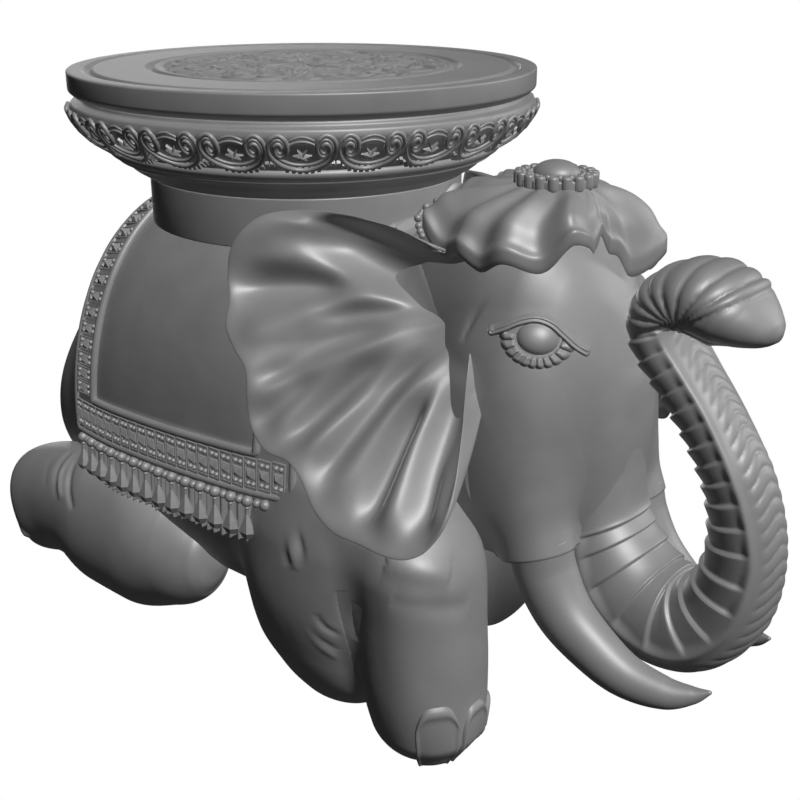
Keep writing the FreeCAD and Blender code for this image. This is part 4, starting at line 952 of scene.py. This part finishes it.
def make_medallion():
    top = CROWN_Z + 4.5
    arc = np.linspace(0.02, PI / 2, 26)
    dome = np.stack([STONE_RADIUS * np.sin(arc), top + 0.5 + STONE_HEIGHT * np.cos(arc)], 1)
    stone = np.concatenate([dome, [(STONE_RADIUS, top - 2), (0.3, top - 2)]])
    plate = rounded([(0.3, top), (DISC_RADIUS, top), (DISC_RADIUS, CROWN_Z - 4),
                     (0.3, CROWN_Z - 4)], 1.2)
    for name, rows, node in (("cabochon_stone", stone, "cabochon"),
                             ("medallion_disc", plate, "medallion_plate")):
        put_grid(name, turned(rows, 120, (CROWN_X, 0)), CROWN_WOOD, node)
    medallion_ring("ring_of_beads", 28, 16.4, top + 0.7, 1.75, ball(), "bead_ring")
    medallion_ring("ring_of_barrels", 18, 22.6, top - 1.6, (3.1, 3.3, 4.6),
                   turned_shape(BARREL, 16, 1.0, -1.0), "petal_ring")
    medallion_ring("small_balls", 18, 20.0, top + 1.6, 1.8, ball(), first=PI / 18)


make_torso()
make_head()
make_eyes()
make_trunk()
make_tusks()
make_legs()
make_toenails()
make_tail()
make_ears()
make_headcloth()
make_medallion()


# ---- saddlecloth, border and fringe

# The cloth's two edges along X, the height of its hem at the rear and its rise to the front, its
# thickness, the width of its border, the radius of the outer cord, how many cells the border has
# along the hem, up the rear and up the front, and how many drops and pleats the fringe has.
CLOTH_REAR, CLOTH_FRONT = -128, 112
HEM_REAR, HEM_RISE = 140, 15
CLOTH = 4.0
BORDER = 30
CORD = 2.6
CELLS_LOW, CELLS_UP, CELLS_FRONT = 21, 16, 5
DROPS, PLEATS = 16, 34

# Mean radius of the torso's section, which turns an angle into a length on the cloth, and how far
# the border stands above the cloth's field.
GIRTH_RADIUS = 125
BORDER_RISE = 1.6


def hem_height(x):
    return HEM_REAR + HEM_RISE * (x - CLOTH_REAR) / (CLOTH_FRONT - CLOTH_REAR)


def torso_station(x):
    return np.clip(np.searchsorted(torso_form.centre[:, 0], x), 0, STATIONS - 1)


def torso_skin(x, turn, lift):
    """A point on the torso's right side, turn 0 level and a quarter turn on top, lifted off it."""
    station = torso_station(x)
    r = torso_form.radius(station, turn) + lift
    return np.stack([x + 0 * r, -r * np.cos(turn),
                     torso_form.centre[station, 2] + r * np.sin(turn)], -1)


def turn_at_height(x, z):
    """The turn at which the cloth's section reaches a height, by a few corrections."""
    station = torso_station(x)
    turn = 0 * x
    for _ in range(6):
        r = torso_form.radius(station, turn) + CLOTH
        turn = np.arcsin(np.clip((z - torso_form.centre[station, 2]) / r, -0.98, 0.98))
    return turn


def skin_frames(x, turn, lift):
    """Centres on the torso's skin and three directions there: along, up and out."""
    centre = torso_skin(x, turn, lift)
    along = unit(torso_skin(x + 1.5, turn, lift) - torso_skin(x - 1.5, turn, lift))
    climb = unit(torso_skin(x, turn + 0.01, lift) - torso_skin(x, turn - 0.01, lift))
    climb = unit(climb - along * (climb * along).sum(-1, keepdims=True))
    out = np.cross(along, climb)
    away = centre - torso_form.centre[torso_station(x)]
    flip = np.sign((out * away).sum(-1, keepdims=True))
    return centre, np.stack([along * flip, climb, out * flip], -2)


def cloth_surface(rows=150, columns=220):
    """The cloth from the right hem over the back to the left hem, a hollow in its field, a band
    round its edge and its thickness."""
    x = np.linspace(CLOTH_REAR, CLOTH_FRONT, rows)
    low = turn_at_height(x, hem_height(x))
    share = np.linspace(0, 1, columns)[None]
    turn = low[:, None] + (PI - 2 * low[:, None]) * share
    up = np.minimum(share, 1 - share) * 2
    inside = np.minimum(x[:, None] - CLOTH_REAR, CLOTH_FRONT - x[:, None])
    edge = np.minimum(inside, up * (PI / 2 - low[:, None]) * GIRTH_RADIUS)
    lift = BORDER_RISE * ease((BORDER + 1 - edge) / 3)
    outer, inner = (torso_skin(x[:, None] + 0 * turn, turn, out) for out in (CLOTH + lift, -1.5))
    return sheet(outer, inner)


def border_line(offset, count=200):
    """The path on the cloth at a distance inside its edge: down the rear, along the hem and up the
    front, with a short curve at each corner."""
    rear, front = CLOTH_REAR + offset, CLOTH_FRONT - offset
    ends = np.array([rear, front])
    low = turn_at_height(ends, hem_height(ends) + offset)
    x_low = np.linspace(rear, front, count)
    turn_low = turn_at_height(x_low, hem_height(x_low) + offset)
    x = np.concatenate([np.full(count, rear), x_low[1:], np.full(count - 1, front)])
    turn = np.concatenate([np.linspace(PI / 2, low[0], count), turn_low[1:],
                           np.linspace(low[1], np.radians(80), count)[1:]])
    for _ in range(12):
        x[1:-1] = (x[:-2] + 2 * x[1:-1] + x[2:]) / 4
        turn[1:-1] = (turn[:-2] + 2 * turn[1:-1] + turn[2:]) / 4
    return x, turn


def make_cords():
    """Round cords, each at a distance inside the cloth's edge and with its radius."""
    for name, offset, radius, node in (("outer", 2.2, CORD, "border_outer_cord"),
                                       ("inner", BORDER, 3.0, "border_inner_cord")):
        points = tube_along(torso_skin(*border_line(offset), CLOTH + 1.5), radius)
        for side, placed in (("right", points), ("left", mirrored(points))):
            put_grid("%s_%s_cord" % (side, name), placed, CLOTH_WOOD, node)


def border_places():
    """Middles of the border's cells, along the hem, up the rear edge and up the lower part of the
    front edge, and which of them are along the hem."""
    middle = 0.5 * BORDER + 0.8
    x = np.linspace(CLOTH_REAR + 8, CLOTH_FRONT - 12, CELLS_LOW)
    turn = turn_at_height(x, hem_height(x) + middle)
    first = turn_at_height(np.array([CLOTH_REAR + middle]),
                           np.array([hem_height(CLOTH_REAR) + 38]))[0]
    rear_turn = np.linspace(first, np.radians(84), CELLS_UP)
    front_turn = np.linspace(first + 0.1, np.radians(28), CELLS_FRONT)
    x = np.concatenate([x, np.full(CELLS_UP, CLOTH_REAR + middle),
                        np.full(CELLS_FRONT, CLOTH_FRONT - middle)])
    return x, np.concatenate([turn, rear_turn, front_turn]), np.arange(len(x)) < CELLS_LOW


def make_border():
    x, turn, level = border_places()
    centre, frames = skin_frames(x, turn, CLOTH + BORDER_RISE)
    upright = np.where(level[:, None, None], frames, frames[:, [1, 0, 2]])
    upright[~level, 1] *= -1
    side, climb, out = upright[:, 0], upright[:, 1], upright[:, 2]
    scatter_sides("cell_frames", cell_frame(), centre, upright, (5.0, 11.0, 1.1), smooth=False)
    scatter_sides("border_stones", pyramid_stone(), centre + out * 0.5, upright, (3.3, 3.3, 3.6),
                  smooth=False)
    beads = [centre + side * 2.1 * a + climb * 7.0 * b + out * 0.7
             for a in (-1, 1) for b in (-1, 1)]
    scatter_sides("border_beads", ball(6, 9), np.concatenate(beads), np.tile(upright, (4, 1, 1)),
                  (1.8, 1.8, 1.9))


def fringe_line(x, drop, stand):
    """Points below the hem: straight down from the cloth's edge and standing off the body."""
    low = turn_at_height(x, hem_height(x))
    hem = torso_skin(x, low, CLOTH)
    return hem + np.stack([0 * x, -stand + 0 * x, -drop + 0 * x], -1)


def fringe_surface(rows=440, columns=34):
    """Soft pleats that grow below the hem, with a thickness."""
    x = np.linspace(CLOTH_REAR + 0.5, CLOTH_FRONT - 0.5, rows)
    fall = np.linspace(0, 1, columns)[None]
    hem = fringe_line(x, 0.0, 0.0)
    place = (x - CLOTH_REAR)[:, None] / (CLOTH_FRONT - CLOTH_REAR)
    pleats = 2 * PI * PLEATS * place
    wave = np.sin(pleats + 1.6 * np.sin(9 * place * PI)) + 0.35 * np.sin(2 * PI * 61 * place)
    y = hem[:, 1][:, None] - 1.7 * wave * ease(fall * 3) + 0.5 - 2.0 * fall
    z = hem[:, 2][:, None] + 1.5 - (36.5 + 0.9 * np.sin(pleats + 0.8)) * fall
    outer = np.stack([x[:, None] + 0 * y, y, z], -1)
    inner = outer + np.array([0, 3.4, 0])
    return sheet(outer, inner)


def make_fringe():
    both_sides("fringe_strip", fringe_surface(), CLOTH_WOOD, "fringe")
    step = (CLOTH_FRONT - CLOTH_REAR) / DROPS
    x = CLOTH_REAR + step * (np.arange(DROPS) + 0.5)
    between = x[:-1] + step / 2
    upright = np.array([[1.0, 0, 0], [0, 0, 1.0], [0, -1.0, 0]])
    # Beads: rings and columns, places, drop below the hem, stand off the cloth, radius, nodes.
    for name, rings, places, drop, stand, size, nodes in (
            ("large_beads", (9, 14), x, 4.2, 2.6, 3.9, ["fringe_beads"]),
            ("small_beads", (8, 12), between, 4.6, 2.0, 2.9, []),
            ("link_beads", (6, 9), x, 9.2, 2.8, 1.4, [])):
        scatter_sides(name, ball(*rings), fringe_line(places, drop, stand), upright, size, *nodes)
    scatter_sides("cut_drops", turned_shape(CUT_DROP, 6, 0.02, -2.02), fringe_line(x, 9.6, 3.4),
                  upright[[0, 2, 1]], (7.2, 5.0, 11.0), "fringe_drops", smooth=False)


def make_saddlecloth():
    put_grid("saddlecloth_carving", cloth_surface(), CLOTH_WOOD, "saddlecloth", "border_band",
             "border_gems")
    make_cords()
    make_border()
    make_fringe()


# ---- seat

# Turned profiles as radius and height; each begins and ends beside the axis, where a fan closes
# it. The seat's edge follows on its upper face.
SEAT_TOP = 410
SEAT_EDGE = [(156.5, 410), (160, 410), (160, 397.5), (156, 394), (152, 393), (0.4, 393)]
ROUND = 400
RINGS = [(146, 5.5, 2.6), (105, 5.5, 2.6)]
RELIEF_REACH = 97
# Scrolls of the seat's relief in one of its eight equal parts: the scroll's middle, its outer
# radius, turns and first direction, then the leaves: root, tip and half width.
SEAT_SCROLLS = [(44, 12, 11, 1.6, 0.4), (70, 20, 12, 1.7, 2.2), (82, 6, 7, 1.4, 4.0)]
SEAT_LEAVES = [((16, 0), (38, 2), 4.2), ((50, 4), (64, 3), 3.6), ((60, 10), (56, 22), 3.2),
               ((84, 16), (90, 30), 3.4), ((30, 8), (27, 11), 3.0), ((90, 2), (97, 4), 3.0)]


def spiral(x, y, radius, turns, first, inward=0.25, count=30):
    """A flat scroll that winds in to its middle."""
    t = np.linspace(0, 1, count)
    r = radius * (1 - (1 - inward) * t)
    a = first + turns * 2 * PI * t
    return np.stack([x + r * np.cos(a), y + r * np.sin(a)], 1)


def seat_relief(radius, turn):
    """Scrolls and leaves in eight mirrored parts round a rosette, over the seat's flat middle."""
    part = PI / 8
    folded = np.abs((turn + part) % (2 * part) - part)
    x, y = radius * np.cos(folded), radius * np.sin(folded)
    height = 1.3 * np.abs(np.cos(4 * turn)) * ease((15 - radius) / 5) * ease(radius / 4)
    for px, py, r, turns, first in SEAT_SCROLLS:
        gap = line_distance(x, y, spiral(px, py, r, turns, first))
        height = np.maximum(height, bead_line(gap, 1.9, 1.5))
    for (ax, ay), (bx, by), half in SEAT_LEAVES:
        gap = line_distance(x, y, [(ax, ay), (bx, by)])
        vein = 0.8 * bell(gap, 0.5)
        height = np.maximum(height, bead_line(gap, half, 1.7) - vein)
    return height * ease((RELIEF_REACH - radius) / 3) - 1.0 * ease((RELIEF_REACH + 2 - radius) / 3)


def make_seat_top():
    rows = np.concatenate([np.linspace(0.4, 98, 140), np.linspace(99, 156, 56)])
    turn = full_turn(ROUND)[None]
    r = rows[:, None]
    groove = 0 * r
    for middle, width, depth in RINGS:
        groove = groove - depth * (1 - ease((np.abs(r - middle) - width * 0.3) / (width * 0.3)))
    z = SEAT_TOP + groove + seat_relief(r, turn)
    top = np.stack([r * np.cos(turn), r * np.sin(turn), z], -1)
    disc = np.concatenate([top, turned(rounded(SEAT_EDGE, 1.4, 5), ROUND)])
    put_grid("seat_disc", disc, SEAT_WOOD, "seat_top")


BOWL = [(0.4, 393), (151, 393), (151.5, 390), (159, 389.5), (160, 385), (158, 380.5), (154, 374.5),
        (148, 368.5), (142.5, 365), (140, 362.2), (0.4, 362.2)]
MOULDING = [(0.4, 362), (136, 362), (137.8, 359), (136, 355.6), (131.8, 354), (131.6, 352.4),
            (128, 350.6), (124.5, 348.4), (121.5, 345.4), (115, 341.6), (111.5, 339), (0.4, 339)]
DRUM = [(0.4, 338.8), (110, 338.8), (110, 306), (0.4, 306)]


def make_turned_parts():
    for name, rows, round_by, node in (("bowl_turning", BOWL, 1.6, "seat_bowl"),
                                       ("moulding_turning", MOULDING, 1.8, "seat_moulding"),
                                       ("drum_turning", DRUM, 1.0, "pedestal_drum")):
        put_grid(name, turned(rounded(rows, round_by, 5), ROUND), SEAT_WOOD, node)


LUNETTES = 24
FRIEZE_TOP, FRIEZE_FOOT = 388.0, 364.6


def on_bowl(place, height, lift):
    """A point of the frieze: place counts lunettes round the bowl, height is a share of the band
    from its foot, lift stands out from the wood."""
    turn = place * 2 * PI / LUNETTES
    z = FRIEZE_FOOT + (FRIEZE_TOP - FRIEZE_FOOT) * height
    outline = np.array(BOWL[2:-1])[::-1]
    r = np.interp(z, outline[:, 1], outline[:, 0])
    slope = np.interp(height, [0, 0.4, 0.8, 1], [0.75, 0.5, 0.2, 0.1])
    out = r + lift * np.sqrt(1 - slope ** 2)
    return np.stack([out * np.cos(turn), out * np.sin(turn), z - lift * slope + 0 * turn], -1)


# Share of each half of a scroll band that hangs as a swag, before it winds into its eye.
SWAG = 0.36


def swag_line(offset, count=150):
    """One whole scroll band of a lunette, from the eye of one scroll down round the swag and up
    into the other: a hanging half ring with a spiral at each end."""
    t = np.linspace(-1, 1, count)
    s = np.abs(t)
    a = -PI / 2 + np.clip(s / SWAG, 0, 1) * PI / 2
    wind = np.clip((s - SWAG) / (1 - SWAG), 0, 1)
    angle = wind * 2.9 * PI
    r = (0.33 - offset) * (1 - 0.80 * wind ** 0.9)
    x = np.where(s > SWAG, 0.64 + r * np.cos(angle), (0.97 - offset) * np.cos(a))
    z = np.where(s > SWAG, 0.62 + r * 1.15 * np.sin(angle),
                 0.62 + (0.62 - offset * 1.35) * np.sin(a))
    return np.stack([x * np.sign(t + 1e-9), z], 1)


def tubes_round(name, lines, radius, sides=7):
    """The same cords of one lunette set all round the bowl."""
    parts, start = [], 0
    for number in range(LUNETTES):
        for line, lift in lines:
            points = on_bowl(line[:, 0] * 0.5 + number, line[:, 1], lift)
            vertices, quads, fans = capped(tube_along(points, radius, sides), points[[0, -1]])
            parts.append((vertices, quads + start, fans + start))
            start += len(vertices)
    put(add_mesh(name, *map(np.concatenate, zip(*parts))), SEAT_WOOD)


def star_shape(blades=6):
    """A star of folded blades: a raised ridge along each blade and valleys between."""
    turn = np.arange(2 * blades) * PI / blades
    reach = np.where(np.arange(2 * blades) % 2 == 0, 1.0, 0.30)
    rim = np.stack([reach * np.cos(turn), reach * np.sin(turn), 0 * turn + 0.1], 1)
    foot = rim * np.array([1, 1, 0]) - np.array([0, 0, 0.8])
    vertices = np.concatenate([rim, foot, [(0, 0, 1.0), (0, 0, -0.8)]])
    n = 2 * blades
    quads = np.array([(k, n + k, n + (k + 1) % n, (k + 1) % n) for k in range(n)])
    caps = [(2 * n, k, (k + 1) % n) for k in range(n)]
    caps += [(2 * n + 1, n + (k + 1) % n, n + k) for k in range(n)]
    return vertices, quads, caps


def bowl_frames(place, height):
    """Directions on the bowl: sideways, up the slope and out."""
    side = unit(on_bowl(place + 0.02, height, 0.0) - on_bowl(place - 0.02, height, 0.0))
    climb = unit(on_bowl(place, height + 0.02, 0.0) - on_bowl(place, height - 0.02, 0.0))
    return np.stack([side, climb, np.cross(side, climb)], -2)


def box_shape():
    corners = [(x, y, z) for z in (-1, 1) for y in (-1, 1) for x in (-1, 1)]
    quads = [(0, 2, 3, 1), (4, 5, 7, 6), (0, 1, 5, 4), (2, 6, 7, 3), (0, 4, 6, 2), (1, 3, 7, 5)]
    return np.array(corners, float), quads, []


def make_frieze():
    tubes_round("frieze_scrolls_outer", [(swag_line(0.0), 1.8)], 1.5)
    tubes_round("frieze_scrolls_inner", [(swag_line(0.11), 1.3)], 1.15)
    arc = np.linspace(-1, 1, 24)
    bars = [(np.stack([arc * (0.34 + 0.05 * k), 0.90 - 0.12 * k - 0.10 * arc ** 2], 1), 0.9)
            for k in range(2)]
    tubes_round("frieze_bars", bars, 0.85, sides=6)
    place = np.arange(LUNETTES, dtype=float)
    height = np.full(LUNETTES, 0.40)
    scatter("frieze_stars", star_shape(), on_bowl(place, height, 0.6), bowl_frames(place, height),
            (5.6, 5.6, 2.4), SEAT_WOOD, smooth=False)
    steps = np.linspace(-0.46, 0.46, 10)
    spot = (place[:, None] + steps[None]).ravel()
    tall = np.tile(1.25 * np.abs(steps) ** 2.4 - 0.05, LUNETTES)
    scatter("frieze_dentils", box_shape(), on_bowl(spot, tall, 0.2), bowl_frames(spot, tall),
            (1.1, 2.6, 1.3), SEAT_WOOD, smooth=False)


make_saddlecloth()
make_seat_top()
make_turned_parts()
make_frieze()


# ---- finishes

def new_node(nodes, kind, **inputs):
    """A shader node with its inputs set; an underscore stands for the space in an input's name."""
    node = nodes.new("ShaderNode" + kind)
    for name, value in inputs.items():
        node.inputs[name.replace("_", " ")].default_value = value
    return node


def join(tree, *rows):
    """Links of a node tree: from a node's output to a node's input."""
    for start, output, end, entry in rows:
        tree.links.new(start.outputs[output], end.inputs[entry])


def grey_satin(name, base, roughness):
    """Grey satin lacquer over carved wood: a faint cloud in its tone and gloss, and fine dents."""
    material = bpy.data.materials.new(name)
    material.use_nodes = True
    nodes = material.node_tree.nodes
    shader = nodes["Principled BSDF"]
    shader.inputs["Specular IOR Level"].default_value = 1.0
    place = new_node(nodes, "TexCoord")
    cloud = new_node(nodes, "TexNoise", Scale=35, Detail=5)
    tint = new_node(nodes, "ValToRGB")
    for stop, position, shade in zip(tint.color_ramp.elements, (0.3, 0.7), (0.93, 1.06)):
        stop.position, stop.color = position, [base * shade] * 3 + [1]
    dents = new_node(nodes, "TexNoise", Scale=90, Detail=3)
    bump = new_node(nodes, "Bump", Strength=0.12, Distance=0.001)
    gloss = new_node(nodes, "MapRange", To_Min=roughness - 0.04, To_Max=roughness + 0.05)
    join(material.node_tree,
         (place, "Object", cloud, "Vector"), (cloud, "Fac", tint, "Fac"),
         (tint, "Color", shader, "Base Color"), (place, "Object", dents, "Vector"),
         (dents, "Fac", bump, "Height"), (bump, "Normal", shader, "Normal"),
         (cloud, "Fac", gloss, "Value"), (gloss, "Result", shader, "Roughness"))
    return material


carved_finish = grey_satin("carved_grey_satin", base=0.18, roughness=0.50)
turned_finish = grey_satin("turned_grey_satin", base=0.165, roughness=0.45)


# ---- camera, lamps, floor

def look_through(position, forward, up, lens):
    """The photograph's camera from its place, its forward direction and its up direction."""
    camera = bpy.data.cameras.new("photo_camera")
    camera.lens, camera.sensor_width, camera.sensor_fit = lens, 36, "HORIZONTAL"
    camera.clip_end = 20
    eye = bpy.data.objects.new("photo_camera", camera)
    bpy.context.scene.collection.objects.link(eye)
    back = -Vector(forward).normalized()
    right = Vector(up).cross(back).normalized()
    facing = Matrix((right, back.cross(right), back)).transposed().to_4x4()
    eye.matrix_world = Matrix.Translation(Vector(position)) @ facing
    bpy.context.scene.camera = eye


look_through(position=(0.6178, -0.5966, 0.4983), forward=(-0.61738, 0.69566, -0.36730),
             up=(-0.2438, 0.27471, 0.93010), lens=54)


def add_sun(name, towards, strength, angle):
    """A lamp so far off that its rays are parallel; towards is where its light comes from."""
    lamp = bpy.data.lights.new(name, "SUN")
    lamp.energy, lamp.angle = strength, angle
    lamp.use_shadow = False
    holder = bpy.data.objects.new(name, lamp)
    bpy.context.scene.collection.objects.link(holder)
    holder.rotation_mode = "QUATERNION"
    holder.rotation_quaternion = Vector(towards).to_track_quat("Z", "Y")


add_sun("key_lamp", towards=(0.60, -0.17, 0.78), strength=4.3, angle=0.10)
add_sun("side_lamp", towards=(0.45, 0.85, 0.28), strength=0.8, angle=0.4)
add_sun("rim_lamp", towards=(-0.80, 0.58, -0.06), strength=0.9, angle=0.5)


def white_room():
    """A world that is white to the camera and gives the figure almost no light."""
    world = bpy.data.worlds.new("pale_room")
    bpy.context.scene.world = world
    world.use_nodes = True
    nodes = world.node_tree.nodes
    background = nodes["Background"]
    background.inputs["Color"].default_value = (1, 1, 1, 1)
    seen = new_node(nodes, "LightPath")
    glow = new_node(nodes, "MapRange", To_Min=0.02, To_Max=1.0)
    join(world.node_tree, (seen, "Is Camera Ray", glow, "Value"),
         (glow, "Result", background, "Strength"))


def pale_floor():
    """A wide pale floor under the feet; what the camera sees of it is white."""
    side, level = 3000, -0.3
    corners = [(-side, -side, level), (side, -side, level), (side, side, level),
               (-side, side, level)]
    floor = add_mesh("studio_floor", corners, [(0, 1, 2, 3)], smooth=False)
    floor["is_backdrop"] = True
    material = bpy.data.materials.new("pale_floor")
    material.use_nodes = True
    nodes = material.node_tree.nodes
    shader = nodes["Principled BSDF"]
    shader.inputs["Base Color"].default_value = (0.03, 0.03, 0.03, 1)
    shader.inputs["Roughness"].default_value = 0.8
    seen, glow, mix = (new_node(nodes, kind) for kind in ("LightPath", "Emission", "MixShader"))
    join(material.node_tree, (seen, "Is Camera Ray", mix, "Fac"), (shader, "BSDF", mix, 1),
         (glow, "Emission", mix, 2), (mix, "Shader", nodes["Material Output"], "Surface"))
    floor.data.materials.append(material)


white_room()
pale_floor()

TURNED_NODES = ("seat_top", "seat_bowl", "seat_moulding", "pedestal_drum")
for name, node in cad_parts.items():
    node.data.materials.clear()
    node.data.materials.append(turned_finish if name in TURNED_NODES else carved_finish)
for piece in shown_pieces():
    if not piece.data.materials:
        piece.data.materials.append(carved_finish)

bpy.context.scene.view_settings.view_transform = "Standard"
